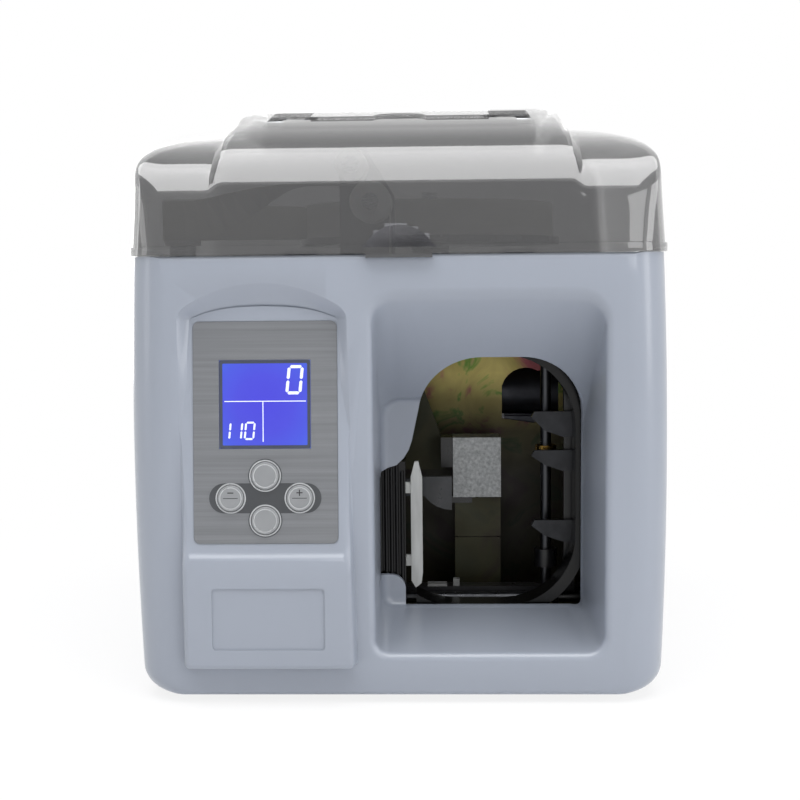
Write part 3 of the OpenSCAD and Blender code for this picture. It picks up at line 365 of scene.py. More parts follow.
def bandLimit(x, z):  # the sloping band is wide over the arch and narrow down the sides
    middle = (console["left"] + console["rightUpper"]) / 2
    turn = degrees(atan2(abs(x - middle), max(1.0, z - console["archTop"] + console["archRadius"])))
    return 4.2 + 7.2 * smoothStep(1 - turn / 52)


def consoleRings(loop):  # from the face to the console's own surface
    rings = []
    wallShare = 0.22  # the share of the rings that a raised part's wall takes
    for f in (0, 0.03, 0.1, wallShare, 0.36, 0.5, 0.64, 0.78, 0.9, 0.97, 1):
        inward, depth = [], []
        for x, z in loop:
            h = consoleDepth(z) - body["front"]
            if h > 0:  # a sloping band round the sunk upper part
                inward.append(min(1.55 * h + 0.4, bandLimit(x, z)) * f)
                depth.append(body["front"] + h * (0.25 * smoothStep(f) + 0.75 * f))
            else:  # a wall and a rounded edge round the raised lower part
                r = min(3.0, -h * 0.8)
                if f <= wallShare:
                    inward.append(0.8 * f / wallShare)
                    depth.append(body["front"] + (h + r) * f / wallShare)
                else:
                    a = (f - wallShare) / (1 - wallShare) * pi / 2
                    inward.append(0.8 + r * (1 - cos(a)))
                    depth.append(body["front"] + h + r * (1 - sin(a)))
        moved = offsetLoop(loop, inward)
        rings.append([(p[0], d, p[1]) for p, d in zip(moved, depth)])
    return rings


def recessRing(d, e=0.0):  # outline of the note recess at depth d behind the face, grown by e
    left = recess["left"] + 0.01 * d
    right = recess["right"] - d * tan(radians(recess["draft"]))
    low = recess["low"] + recess["rise"] * d / recess["depth"]
    high = recess["high"] - d
    return roundedBox(left - e, low - e, right + e, high + e, [7 + e, 9 + e, 14 + e, 11 + e], 7)


def recessSheet():
    r = recess["rimRadius"]
    rings = []
    for a in np.linspace(0, pi / 2, 8):  # rounded rim
        d = r * (1 - cos(a))
        rings.append((d, recessRing(d, r * (1 - sin(a)))))
    for d in (6, 10, 16, 24, 32, 40, 48, 54):
        rings.append((d, recessRing(d)))
    back, hollow = recess["depth"], recess["hollow"]
    for a in np.linspace(0, pi / 2, 6):  # hollow where the walls meet the back
        inward = hollow * (1 - cos(a))
        rings.append((back - hollow * (1 - sin(a)), offsetLoop(recessRing(back - hollow), inward)))
    points, faces = stitch([[(x, body["front"] + d, z) for x, z in ring] for d, ring in rings])
    n = len(rings[0][1])
    start = len(points) - n
    last = points[start:]
    points.append((sum(p[0] for p in last) / n, body["front"] + back, sum(p[2] for p in last) / n))
    return points, faces + [(start + i, start + (i + 1) % n, start + n) for i in range(n)]


hole = dict(top=170.0, radius=33.0, foot=3.0, notch=7.5)


def chamberHole():  # an arch whose left side steps outwards and ends in a notched foot
    x0, x1 = recess["left"], recess["right"] - 6
    z0, z1 = recess["low"] + recess["rise"], hole["top"]
    r, low = hole["radius"], hole["foot"]
    step = [(17.5, 46), (15.8, 51), (13, 55.5), (9.2, 59.2), (4.5, 60.6), (1, 62.3), (0.2, 66)]  # right, down
    return ([(x0 + 13.5, z0)] + arc(x1 - low, z0 + low, low, 270, 360, 3) + arc(x1 - r, z1 - r, r, 0, 90, 16)
            + arc(x0 + 54, z1 - r, r, 90, 172, 16) + [(x0 + right, z1 - down) for right, down in step]
            + [(x0 + 0.2, z0 + 17)] + arc(x0 + 6, z0 + 9, hole["notch"], 90, 0, 6))


def onPanel(x, s, n):  # panel frame to place: across, up the slope, outwards
    t = radians(console["tilt"])
    foot = console["stepHeight"] + console["stepRise"]
    return x, console["lean"] + s * sin(t) - n * cos(t), foot + s * cos(t) + n * sin(t)


def panelBlock(loop, n0, n1):
    return capped([[onPanel(x, s, n) for x, s in loop] for n in (n0, n1)])


def keyPlaces():  # middle and radius of each key
    x, s, big, small = (panel[k] for k in ("keysMiddle", "keysHeight", "keyRadius", "sideKeyRadius"))
    up, out = panel["rise"], panel["reach"]
    return dict(top=(x, s + up, big), bottom=(x, s - up, big),
                left=(x - out, s, small), right=(x + out, s, small))


def disc(x, z, r, n=40):
    return [(x + r * cos(a), z + r * sin(a)) for a in evenAngles(n)]


def frontCover(material):
    front = body["front"]
    points, faces, edge = wrapSheet(front, body["seam"], body["cornerRadius"])
    outline = consoleOutline()
    rings = consoleRings(outline)
    face = fillFlat([edge, outline, recessRing(0, recess["rimRadius"])], lambda x, z: front)
    x0, x1, step = console["left"] + 5, console["right"] - 6, console["stepHeight"]
    rows = [step + k * console["stepRise"] / 8 for k in range(9)]
    inner = [(p[0], p[2]) for p in rings[-1]]
    top = fillFlat([inner], lambda x, z: consoleDepth(z), [((x0, z), (x1, z)) for z in rows])
    sheet = joinParts((points, faces), face, stitch(rings), top, recessSheet())
    cover = makePiece("frontCover", sheet, merge=0.05)
    thicken(cover, body["wall"])
    half, gap = panel["width"] / 2, 0.15
    x, low, high = panel["middle"], panel["low"] - gap, panel["low"] + panel["height"] + gap
    seat = roundedBox(x - half - gap, low, x + half + gap, high, 3)
    x, w, z = panel["windowMiddle"], panel["windowWidth"] / 2 - 1, panel["windowLow"]
    window = roundedBox(x - w, z + 1, x + w, z + panel["windowHeight"] - 1, 1)
    cuts = [prism(chamberHole(), front + 1, front + recess["depth"] + 12),
            prism(roundedBox(*console["label"], 2), console["block"] - 3, console["block"] + 0.8),
            panelBlock(seat, -0.55, 4), panelBlock(window, -8, 2)]
    cuts += [panelBlock(disc(x, s, r + 0.3), -8, 2) for x, s, r in keyPlaces().values()]
    for part in cuts + [floorCutter(front + 18, 0)]:
        cutAway(cover, makePiece("cutter", part))
    dress(cover, "machine", material, "front_cover")


def floorCutter(y0, y1):  # takes the covers away from round the base plate
    return block(-104, 104, y0, y1, 0, 6.9)


def nodeTree(name, **given):  # a Geometry Nodes tree with named inputs: a whole number, a length or a mesh
    tree = bpy.data.node_groups.new(name, "GeometryNodeTree")
    for label, value in given.items():
        kind = "Geometry" if value is None else "Int" if isinstance(value, int) else "Float"
        socket = tree.interface.new_socket(label, in_out="INPUT", socket_type="NodeSocket" + kind)
        if value is not None:
            socket.default_value = value
    tree.interface.new_socket("Geometry", in_out="OUTPUT", socket_type="NodeSocketGeometry")
    return tree, tree.nodes.new("NodeGroupInput").outputs


def finishTree(tree, placed, material, points=()):  # instances made real and coated, then kept as a mesh
    real, coat = (tree.nodes.new("GeometryNode" + kind) for kind in ("RealizeInstances", "SetMaterial"))
    if material:
        coat.inputs["Material"].default_value = material
    out = tree.nodes.new("NodeGroupOutput")
    connect(tree, (placed, real.inputs[0]), (real.outputs[0], coat.inputs["Geometry"]),
            (coat.outputs[0], out.inputs[0]))
    mesh = bpy.data.meshes.new(tree.name)
    mesh.from_pydata([tuple(c / 1000 for c in p) for p in points], [], [])
    piece = addObject(tree.name, mesh)
    repeats = piece.modifiers.new("repeats", "NODES")
    repeats.node_group = tree
    for socket in tree.interface.items_tree:
        if socket.in_out == "INPUT" and socket.socket_type != "NodeSocketGeometry":
            repeats[socket.identifier] = socket.default_value
    applyModifiers(piece)
    return piece


def slotCutters(width, depth):  # a column of rounded slots, instanced along Z
    high = vents["height"] / 1000
    tree, given = nodeTree("slots", Count=vents["count"], Pitch=vents["pitch"] / 1000, Width=width / 1000,
                           Height=high, Depth=depth / 1000)
    outline = addNode(tree, "GeometryNodeCurvePrimitiveQuadrilateral")
    fillet = addNode(tree, "GeometryNodeFilletCurve", {"Count": 5, "Radius": high * 0.48}, mode="POLY")
    fill = addNode(tree, "GeometryNodeFillCurve")
    extrude = addNode(tree, "GeometryNodeExtrudeMesh", {"Individual": False})
    back = addNode(tree, "GeometryNodeFlipFaces")
    both = addNode(tree, "GeometryNodeJoinGeometry")
    weld = addNode(tree, "GeometryNodeMergeByDistance")
    turn = addNode(tree, "GeometryNodeTransform", {"Rotation": (pi / 2, 0, 0)})
    column, spacing = addNode(tree, "GeometryNodeMeshLine"), addNode(tree, "ShaderNodeCombineXYZ")
    repeat = addNode(tree, "GeometryNodeInstanceOnPoints")
    connect(tree, (given["Width"], outline.inputs["Width"]), (given["Height"], outline.inputs["Height"]),
            (outline.outputs[0], fillet.inputs["Curve"]), (fillet.outputs[0], fill.inputs[0]),
            (fill.outputs[0], extrude.inputs["Mesh"]), (given["Depth"], extrude.inputs["Offset Scale"]),
            (fill.outputs[0], back.inputs[0]), (extrude.outputs["Mesh"], both.inputs[0]),
            (back.outputs[0], both.inputs[0]), (both.outputs[0], weld.inputs[0]),
            (weld.outputs[0], turn.inputs[0]), (given["Count"], column.inputs["Count"]),
            (given["Pitch"], spacing.inputs["Z"]), (spacing.outputs[0], column.inputs["Offset"]),
            (column.outputs[0], repeat.inputs["Points"]), (turn.outputs[0], repeat.inputs["Instance"]))
    return finishTree(tree, repeat.outputs[0], None)


vents = dict(count=9, pitch=8.0, width=90.0, height=3.5, sideWidth=50.0, rearLow=114.0, sideLow=54.0,
             sideY=80.0)
inlet = dict(low=33.8, high=54.2, places=((70, 14.2), (40, 7.2)))  # middle and half width of socket and switch


def rearCover(material):
    rear = body["rear"]
    points, faces, edge = wrapSheet(rear, body["seam"] + 0.3, body["rearRadius"])
    back = fillFlat([edge], lambda x, z: rear)
    cover = makePiece("rearCover", joinParts((points, faces), back), merge=0.05)
    thicken(cover, body["wall"])
    rearZ, sideZ = ((vents[k] + vents["height"] / 2) / 1000 for k in ("rearLow", "sideLow"))
    slots = slotCutters(vents["width"], 12)
    slots.data.transform(Matrix.Translation((0, rear / 1000 + 0.006, rearZ)))
    cutAway(cover, slots)
    for side in (-1, 1):
        slots = slotCutters(vents["sideWidth"], 16)
        spot = Matrix.Translation((side * body["halfWidth"] / 1000, vents["sideY"] / 1000, sideZ))
        slots.data.transform(spot @ Matrix.Rotation(pi / 2, 4, "Z") @ Matrix.Translation((0, 0.008, 0)))
        cutAway(cover, slots)
    low, high = inlet["low"], inlet["high"]
    holes = [block(x - half, x + half, rear - 5, rear + 1, low, high) for x, half in inlet["places"]]
    for part in holes + [floorCutter(-80, rear - 14)]:
        cutAway(cover, makePiece("cutter", part))
    dress(cover, "machine", material, "rear_cover")


# the smoked lid: side profile, cross section at its front, and the folding grip's pocket
lidSide = [(0, 0), (0.8, 10), (2.2, 25), (4.2, 33), (8.2, 41), (15, 48.8), (25, 56.5), (42, 64.5), (58, 69.2),
           (82, 75.2), (106, 80), (118, 82.2), (132, 83.2), (164, 83.2), (196, 83.2), (226, 80), (246, 72),
           (260, 60), (270, 40), (273, 20), (274, 0)]
lidShoulder = [(132.5, 0), (131.2, 16), (130.2, 30), (129.2, 44), (127.6, 51), (124, 57), (119, 61.6),
               (112, 65.6), (98, 69.6), (80, 71.4), (50, 72.4), (0, 72.8)]
grip = dict(y=-54.5, z=296.85, tilt=12.6, depth=9.0, pocketHalf=69.0, endInner=48.0, low=-22.0, high=22.0,
            middle=-3.0, thumb=14.0, thumbMiddle=-2.0)


def alongCurve(points, places):  # smooth curve through the points, read at shares of its length
    p = np.array(points, float)
    length = np.r_[0, np.cumsum(np.linalg.norm(np.diff(p, axis=0), axis=1))]
    tangent = np.gradient(p, length, axis=0)
    out = []
    for s in np.asarray(places):
        i = int(np.clip(np.searchsorted(length, s, "right") - 1, 0, len(p) - 2))
        h = length[i + 1] - length[i]
        u = (s - length[i]) / h
        out.append((2 * u**3 - 3 * u**2 + 1) * p[i] + (u**3 - 2 * u**2 + u) * h * tangent[i]
                   + (3 * u**2 - 2 * u**3) * p[i + 1] + (u**3 - u**2) * h * tangent[i + 1])
    return np.array(out), length[-1]


def softMin(a, b, k):
    k = max(1e-6, min(k, 0.7 * max(a, b)))
    h = min(1.0, max(0.0, 0.5 + 0.5 * (b - a) / k))
    return b * (1 - h) + a * h - k * h * (1 - h)


def crownShare(x, z):
    edge = lid["crownHalf"] - 4.5 * min(1.0, max(0.0, (z - 28) / 50))
    return smoothStep((edge + 1.2 - abs(x)) / 5.0)


def lidPoint(x, sideZ, frontZ):
    above = max(0.0, sideZ - lid["skirt"]) / (lid["height"] - lid["skirt"])
    shoulder = sideZ - above * lid["crownStep"]
    low = softMin(shoulder, frontZ, 9)
    share = crownShare(x, sideZ)
    return low + (max(sideZ, low) - low) * share


def roundCorners(x, y):
    r = body["cornerRadius"]
    cx, cy = lid["half"] - r, body["rear"] - r
    if abs(x) > cx and abs(y) > cy:
        qx, qy = abs(x) - cx, abs(y) - cy
        return (copysign(cx + qx * sqrt(1 - min(1.0, (qy / r)) ** 2 / 2), x),
                copysign(cy + qy * sqrt(1 - min(1.0, (qx / r)) ** 2 / 2), y))
    return x, y


def gripFrame(x, s, n):
    t = radians(grip["tilt"])
    return (x, grip["y"] + s * cos(t) - n * sin(t), grip["z"] + s * sin(t) + n * cos(t))


def lidShell():
    _, sideLength = alongCurve(lidSide, [0])
    rows = [*np.linspace(0, 50, 32), *np.linspace(52.5, 120, 22), *np.linspace(126, sideLength - 60, 26),
            *np.linspace(sideLength - 56, sideLength, 26)]
    side, _ = alongCurve(lidSide, rows)
    _, frontLength = alongCurve(lidShoulder, [0])
    columns = [*np.linspace(0, 78, 38), *np.linspace(80, frontLength - 60, 22),
               *np.linspace(frontLength - 54, frontLength, 11)]
    half, _ = alongCurve(lidShoulder, [round(v, 3) for v in columns])
    half[-1][0] = 0
    front = [(-x, z) for x, z in half] + [(x, z) for x, z in half[::-1][1:]]
    rings = []
    for y, sideZ in side:
        ring = []
        for x, frontZ in front:
            z = lidPoint(x, min(lid["height"], max(0.0, sideZ)), max(0.0, frontZ))
            ring.append((*roundCorners(x, body["front"] + y), lid["low"] + z))
        rings.append(ring)
    shell = makePiece("lidShell", stitch(rings, closed=False), merge=0.002)
    if sum(f.normal.z * f.area for f in shell.data.polygons) < 0:
        shell.data.flip_normals()
    thicken(shell, lid["wall"])
    return shell


def underProfile(e):  # the space under the lid's side profile, e below its surface
    _, length = alongCurve(lidSide, [0])
    side, _ = alongCurve(lidSide, np.linspace(0, length, 70))
    loop = [(body["front"] + p[0], lid["low"] + min(lid["height"], p[1])) for p in side]
    return capped([[(x, y, z) for y, z in offsetLoop(loop[::-1], e)] for x in (-86, 86)])


def ball(centre, r, n=48):
    x, y, z = centre
    return capped([[(px, py, z + r * cos(a)) for px, py in disc(x, y, r * sin(a), n)]
                   for a in np.linspace(0.02, pi - 0.02, n // 2)])


def roundPoly(points, r, n=5):  # every corner of a closed outline rounded
    out = []
    for i, p in enumerate(points):
        p, a, b = Vector(p), Vector(points[i - 1]), Vector(points[(i + 1) % len(points)])
        t = min(r, (a - p).length * 0.45, (b - p).length * 0.45)
        start, end = p + (a - p).normalized() * t, p + (b - p).normalized() * t
        shares = np.linspace(0, 1, n + 1)
        out += [tuple(start * (1 - k) ** 2 + p * 2 * k * (1 - k) + end * k * k) for k in shares]
    return out


def gripPocket(e):  # outline of the grip's pocket in its own sloping plane, grown by e
    x1, x0 = grip["pocketHalf"] + e, grip["endInner"] - e
    low, high, middle = grip["low"] - e, grip["high"] + e, grip["middle"] + e
    r = grip["thumb"] + e
    a = degrees(asin((middle - grip["thumbMiddle"]) / r))
    thumb = arc(0, grip["thumbMiddle"], r, a, 180 - a, 16)
    return roundPoly([(-x1, low), (x1, low), (x1, high), (x0, high), (x0, middle)] + thumb
                     + [(-x0, middle), (-x0, high), (-x1, high)], 2.2, 3)


def gripBlock(loop, n0, n1):
    return capped([[gripFrame(x, q, n) for x, q in loop] for n in (n0, n1)])


def rodX(x0, x1, y, z, r):
    return capped([[(x, py, pz) for py, pz in disc(y, z, r, 28)] for x in (x0, x1)])


def planLoop(e):  # the lid seen from above, grown by e
    x, y = lid["half"] + e, body["rear"] + e
    return roundedBox(-x, -y, x, y, body["cornerRadius"] + e, 10)


def rimFlange():
    h, proud = lid["flange"], lid["proud"]
    profile = ((-1.2, 0), (proud - 0.3, 0), (proud, 0.3), (proud, h - 0.5), (proud - 0.15, h - 0.15),
               (proud - 0.5, h), (-1.2, h), (-1.2, 0))
    return stitch([[(x, y, lid["low"] + z) for x, y in planLoop(e)] for e, z in profile])


def lidPiece(material, scoopMaterial):
    shell = lidShell()
    x, y, z, r = lid["scoop"]
    low, wall, tab, hingeY, hingeZ = (lid[k] for k in ("low", "wall", "tabMiddle", "hingeY", "hingeZ"))

    def change(name, part, way="UNION", piece=shell):
        cutAway(piece, makePiece(name, part), way=way)
    walls = makePiece("lidWalls", gripBlock(gripPocket(wall), -grip["depth"] - wall, 8))
    change("lidScoopWall", ball((x, y, z), r + wall), piece=walls)
    change("lidInside", underProfile(0.3), "INTERSECT", walls)
    cutAway(shell, walls, way="UNION")
    change("lidFlange", rimFlange())
    change("lidTab", block(tab - 16, tab + 16, -141, -137.3, low - 2, low + 3))
    change("lidTab", block(tab - 17, tab + 17, -141, -134.5, low, low + 3))
    for q in (-lid["hingeX"], lid["hingeX"]):
        change("lidGap", block(q - 13, q + 13, 136.8, 142, low - 1, low + 9), "DIFFERENCE")
        change("lidArm", block(q - 5, q + 5, 134.5, hingeY, hingeZ - 2, hingeZ + 2))
        change("lidLug", rodX(q - 5, q + 5, hingeY, hingeZ, 3.5))
        change("lidBore", rodX(q - 6, q + 6, hingeY, hingeZ, lid["hingeBore"]), "DIFFERENCE")
    change("lidPocket", gripBlock(gripPocket(0), -grip["depth"], 9), "DIFFERENCE")
    scoop = makePiece("lidScoop", ball((x, y, z), r))
    change("lidScoopFoot", block(x - 40, x + 40, -200, -110, 180, low + 3), "DIFFERENCE", scoop)
    cutAway(shell, scoop)
    softEdges(shell, 30)
    dress(shell, "lid", material, "lid")
    shell.data.materials.append(scoopMaterial)
    centre = Vector((x, y, z)) / 1000
    for face in shell.data.polygons:  # the thumb scoop is left matt
        if abs((face.center - centre).length * 1000 - r) < 0.4:
            face.material_index = 1


# display and keys
display = dict(bezel=1.5, lineLow=23.0, lineLeft=2.4, lineRight=2.2, split=21.3, splitLow=3.2, line=0.22,
               bigX=10.8, bigLow=27.0, bigWidth=6.4, bigHeight=12.8, bigStroke=1.5, smallLow=4.6,
               smallHeight=8.0, smallWidth=4.2, smallStroke=0.95, smallX=(-17.6, -11.9, -10.0), lean=0.1)
figures = dict(one="upperRight lowerRight", zero="top foot upperLeft upperRight lowerLeft lowerRight")
pill = dict(width=55.0, height=14.6, scallop=8.3, lift=0.41, thickness=0.15, gap=0.32, rim=1.0)
keyCap = dict(top=1.8, foot=-5.45, stem=1.5, flangeLow=-4.4, flangeHigh=-3.5, edge=0.7, groove=0.22, flange=0.9)


def onPanelRing(x, s, r, n):
    return [onPanel(px, ps, n) for px, ps in disc(x, s, r, 48)]


def keyCaps(material, ringMaterial, inkMaterial):
    top, edge, g, low, high = (keyCap[k] for k in ("top", "edge", "groove", "flangeLow", "flangeHigh"))
    for name, (x, s, r) in keyPlaces().items():
        rides = "key_" + name
        stem, flange, inner = keyCap["stem"], r + keyCap["flange"], r - edge
        angles = np.linspace(pi / 2, 0, 6)
        curve = [(r - edge * (1 - sin(a)), top - edge * (1 - cos(a))) for a in angles]
        profile = [(stem, keyCap["foot"]), (stem, low), (flange, low), (flange, high), (r, high), *curve,
                   (inner - 0.1, top), (inner - 0.3, top - g), (inner - 0.8, top - g), (inner - 1.0, top),
                   (0.4, top + 0.001)]
        cap = capped([onPanelRing(x, s, *p) for p in profile])
        makePiece(name + "Cap", cap, rides, material, rides, merge=0.001)
        r0, r1, n0, n1 = inner - 0.85, inner - 0.25, top - g + 0.02, top - g + 0.1
        ring = [onPanelRing(x, s, *p) for p in ((r1, n0), (r1, n1), (r0, n1), (r0, n0), (r1, n0))]
        makePiece(name + "Ring", stitch(ring), rides, ringMaterial, merge=0.001)
        if name in ("left", "right"):
            bars = [(x - 3.6, s - 0.15, x + 3.6, s + 0.15), (x - 1.5, s + 2.4, x + 1.5, s + 2.9)]
            if name == "right":
                bars += [(x - 0.25, s + 2.9, x + 0.25, s + 4.15), (x - 0.25, s + 1.15, x + 0.25, s + 2.4)]
            marks = joinParts(*[panelBlock(corners(*bar), top, top + 0.04) for bar in bars])
            makePiece(name + "Mark", marks, rides, inkMaterial, merge=0.0001)


def corners(x0, s0, x1, s1):
    return [(x0, s0), (x1, s0), (x1, s1), (x0, s1)]


def pillOutline(places):  # a bar with round ends, bulging round the upper and the lower key
    x, s, h, big = panel["keysMiddle"], panel["keysHeight"], pill["height"] / 2, pill["scallop"]
    loop = []
    for side, name, first in ((1, "top", 0), (-1, "bottom", 180)):
        kx, ks, _ = places[name]
        a = side * degrees(asin((s + side * h - ks) / big))
        loop += arc(x + side * (pill["width"] / 2 - h), s, h, first - 90, first + 90, 16)
        loop += arc(kx, ks, big, first + a, first + 180 - a, 20)
    return loop


def keyPill(material, rimMaterial):
    places = keyPlaces()
    low, high = pill["lift"], pill["lift"] + pill["thickness"]
    plate = makePiece("keyPill", panelBlock(pillOutline(places), low, high), "machine", material)
    for x, s, r in places.values():
        cutAway(plate, makePiece("cutter", panelBlock(disc(x, s, r + 0.3), low - 1, low + 1)))
    for name, (x, s, r) in places.items():
        r0, r1, n0, n1 = r + pill["gap"], r + pill["rim"], high - 0.02, high + 0.12
        rings = [onPanelRing(x, s, *p) for p in ((r0, n0), (r1, n0), (r1, n1), (r0, n1), (r0, n0))]
        makePiece(name + "Surround", stitch(rings), "machine", rimMaterial, merge=0.001)


def segments(x, s, width, height, stroke, figure):  # bars of a seven-segment figure, leaning to the right
    half, gap = stroke / 2, 0.12
    middle = height / 2
    ends = {"top": ((0, height), (width, height)), "foot": ((0, 0), (width, 0)),
            "upperLeft": ((0, middle), (0, height)), "upperRight": ((width, middle), (width, height)),
            "lowerLeft": ((0, 0), (0, middle)), "lowerRight": ((width, 0), (width, middle))}
    bars = []
    for name in figures[figure].split():
        a, b = (Vector(p) for p in ends[name])
        t = (b - a).normalized()
        side = Vector((-t.y, t.x)) * half
        tip, waist = t * (gap + half * 0.2), t * (gap + half)
        loop = [a + tip, a + waist - side, b - waist - side, b - tip, b - waist + side, a + waist + side]
        bars.append([(x + p.x + p.y * display["lean"], s + p.y) for p in loop])
    return bars


def displayPieces(glow, bezelMaterial, inkMaterial):
    d = display
    x, s, h, b = panel["windowMiddle"], panel["windowLow"], panel["windowHeight"], d["bezel"]
    left, right = x - panel["windowWidth"] / 2, x + panel["windowWidth"] / 2
    window = panelBlock(corners(left, s, right, s + h), -1.2, 0.3)
    makePiece("displayGlow", window, "machine", glow, "display_window")
    outer = roundedBox(left, s, right, s + h, 0.6, 3)
    inner = roundedBox(left + b, s + b, right - b, s + h - b, 0.5, 3)
    profile = ((outer, 0.3), (outer, 0.42), (inner, 0.42), (inner, 0.3), (outer, 0.3))
    bezel = stitch([[onPanel(*p, n) for p in loop] for loop, n in profile])
    makePiece("displayBezel", bezel, "machine", bezelMaterial, merge=0.001)
    low, line, split = s + d["lineLow"], d["line"], left + d["split"]
    bars = segments(x + d["bigX"], s + d["bigLow"], d["bigWidth"], d["bigHeight"], d["bigStroke"], "zero")
    for across, wide, figure in zip(d["smallX"], (0, 0, d["smallWidth"]), ("one", "one", "zero")):
        bars += segments(x + across, s + d["smallLow"], wide, d["smallHeight"], d["smallStroke"], figure)
    bars.append(corners(left + d["lineLeft"], low - line, right - d["lineRight"], low + line))
    bars.append(corners(split - line, s + d["splitLow"], split + line, low))
    shapes = joinParts(*[panelBlock(bar, 0.31, 0.36) for bar in bars])
    makePiece("displayFigures", shapes, "machine", inkMaterial, merge=0.0001)


def screwHeads(name, places, turn, radius, height, material):  # cross-recessed heads, instanced on points
    tree, given = nodeTree(name, Geometry=None, Radius=radius / 1000, Height=height / 1000)
    head = addNode(tree, "GeometryNodeMeshCylinder", {"Vertices": 32})
    long, thin, deep = (size / 1000 for size in (radius * 1.1, radius * 0.26, screws["recess"] * 2))
    sizes = ((long, thin, deep), (thin, long, deep))
    arms = [addNode(tree, "GeometryNodeMeshCube", {"Size": size}) for size in sizes]
    lift = addNode(tree, "ShaderNodeMath", {1: 0.5}, operation="MULTIPLY")
    top = addNode(tree, "ShaderNodeCombineXYZ")
    cut = addNode(tree, "GeometryNodeMeshBoolean", operation="DIFFERENCE")
    repeat = addNode(tree, "GeometryNodeInstanceOnPoints", {"Rotation": turn})
    connect(tree, (given["Radius"], head.inputs["Radius"]), (given["Height"], head.inputs["Depth"]),
            (given["Height"], lift.inputs[0]), (lift.outputs[0], top.inputs["Z"]),
            (head.outputs["Mesh"], cut.inputs[0]), (given["Geometry"], repeat.inputs["Points"]),
            (cut.outputs[0], repeat.inputs["Instance"]))
    for arm in arms:
        moved = addNode(tree, "GeometryNodeTransform")
        connect(tree, (arm.outputs["Mesh"], moved.inputs["Geometry"]),
                (top.outputs[0], moved.inputs["Translation"]), (moved.outputs[0], cut.inputs[1]))
    piece = finishTree(tree, repeat.outputs[0], material, places)
    softEdges(piece, 40)
    return piece


screws = dict(footX=61.6, footFront=-106.0, footRear=113.0, footZ=5.9, footHead=(3.0, 2.2), recess=0.9,
              coverX=112.0, coverLow=64.0, coverHigh=194.0, coverHead=(3.4, 1.6))
rollers = dict(heads=((-15.4, -76.5, 250.8), (-25.5, -74.2, 270.0)), head=(4.4, 3.0), bracket=-48.3, shaft=2.5)


def coverScrews(material):
    q, y = screws, body["rear"] + screws["coverHead"][1] / 2
    rear = [(side * q["coverX"], y, z) for side in (-1, 1) for z in (q["coverLow"], q["coverHigh"])]
    below = [(side * q["footX"], y, q["footZ"]) for side in (-1, 1) for y in (q["footFront"], q["footRear"])]
    first = screwHeads("coverScrews", rear, (-pi / 2, 0, 0), *q["coverHead"], material)
    second = screwHeads("footScrews", below, (pi, 0, 0), *q["footHead"], material)
    dress(first, "machine", material, "cover_screws")
    dress(second, "machine", material)


def rollerScrews(material):  # heads in front of the rollers, with shafts back to their bracket
    piece = screwHeads("rollerScrews", rollers["heads"], (pi / 2, 0, 0), *rollers["head"], material)
    work = bmesh.new()
    work.from_mesh(piece.data)
    thick = rollers["shaft"] / 1000
    for x, y, z in rollers["heads"]:
        middle, length = (y + rollers["bracket"]) / 2, rollers["bracket"] - y
        spot = Matrix.Translation(Vector((x, middle, z)) / 1000) @ Matrix.Rotation(pi / 2, 4, "X")
        bmesh.ops.create_cone(work, cap_ends=True, segments=32, radius1=thick, radius2=thick,
                              depth=length / 1000, matrix=spot)
    work.to_mesh(piece.data)
    work.free()
    softEdges(piece, 40)
    dress(piece, "machine", material, "roller_screws")


# finishes
bodyPlastic = finish("bodyPlastic", (145, 151, 162), (148, 154, 165), scale=9, detail=0, rough=(0.285, 0.3),
                     roughScale=20, bump=0.02, bumpScale=700, bumpDepth=0.00002, Coat_Weight=0.25,
                     Coat_Roughness=0.12)
smokedPlastic = finish("smokedPlastic", (46, 46, 48), (50, 50, 52), scale=9, rough=(0.06, 0.075), roughScale=12,
                       Alpha=0.6, Specular_IOR_Level=1.0, Coat_Weight=1.0, Coat_Roughness=0.04)
frostedPlastic = finish("frostedPlastic", (124, 124, 128), (134, 134, 138), scale=20, rough=(0.12, 0.2),
                        bump=0.02, Alpha=0.62, Specular_IOR_Level=0.9)
brushedPanel = finish("brushedPanel", (102, 104, 107), (112, 114, 117), (121, 123, 126), at=(0.25, 0.5, 0.75),
                      scale=26, stretch=(0.35, 22, 22), detail=6, rough=(0.34, 0.44), bump=0.08, bumpScale=60,
                      bumpStretch=(1, 40, 40))
zincPlate = finish("zincPlate", (92, 62, 66), (128, 124, 78), (140, 138, 92), (96, 106, 66), (150, 140, 110),
                   at=(0.28, 0.4, 0.55, 0.66, 0.8), scale=22, warp=1.2, detail=4, metal=0.85, rough=(0.3, 0.42),
                   bump=0.1, bumpScale=300)
# painted shade: a darkened copy of the zinc finish for the plates deep inside, its colour dimmed to stand for
# the shade there
zincInPaintedShade = finish("zincInPaintedShade", (46, 38, 30), (54, 52, 30), (40, 44, 28), scale=30, warp=1.0, metal=0.4,
                    rough=(0.4, 0.55), bump=0.1, bumpScale=300)
castGrey = finish("castGrey", (156, 158, 158), (182, 184, 184), (206, 208, 207), scale=520, detail=5,
                  metal=0.35, rough=(0.5, 0.65), bump=0.35, bumpScale=700, bumpDepth=0.0004)
blackPlastic = finish("blackPlastic", (22, 22, 24), (30, 30, 32), scale=30, rough=(0.25, 0.35), bump=0.05)
glossBlack = finish("glossBlack", (8, 8, 9), (13, 13, 14), scale=30, rough=(0.16, 0.24), bump=0.04,
                    Specular_IOR_Level=0.3)
rubberBlack = finish("rubberBlack", (20, 20, 21), (30, 30, 31), rough=(0.65, 0.8), bump=0.2)
inkBlack = finish("inkBlack", (24, 25, 27), (32, 33, 35), scale=80, rough=(0.5, 0.6), bump=0.02)
darkMetal = finish("darkMetal", (54, 55, 60), (72, 73, 79), metal=0.8, rough=(0.35, 0.5), bump=0.08)
brightSteel = finish("brightSteel", (160, 162, 165), (186, 188, 190), scale=80, stretch=(1, 1, 6), metal=1.0,
                     rough=(0.22, 0.34), bump=0.05)
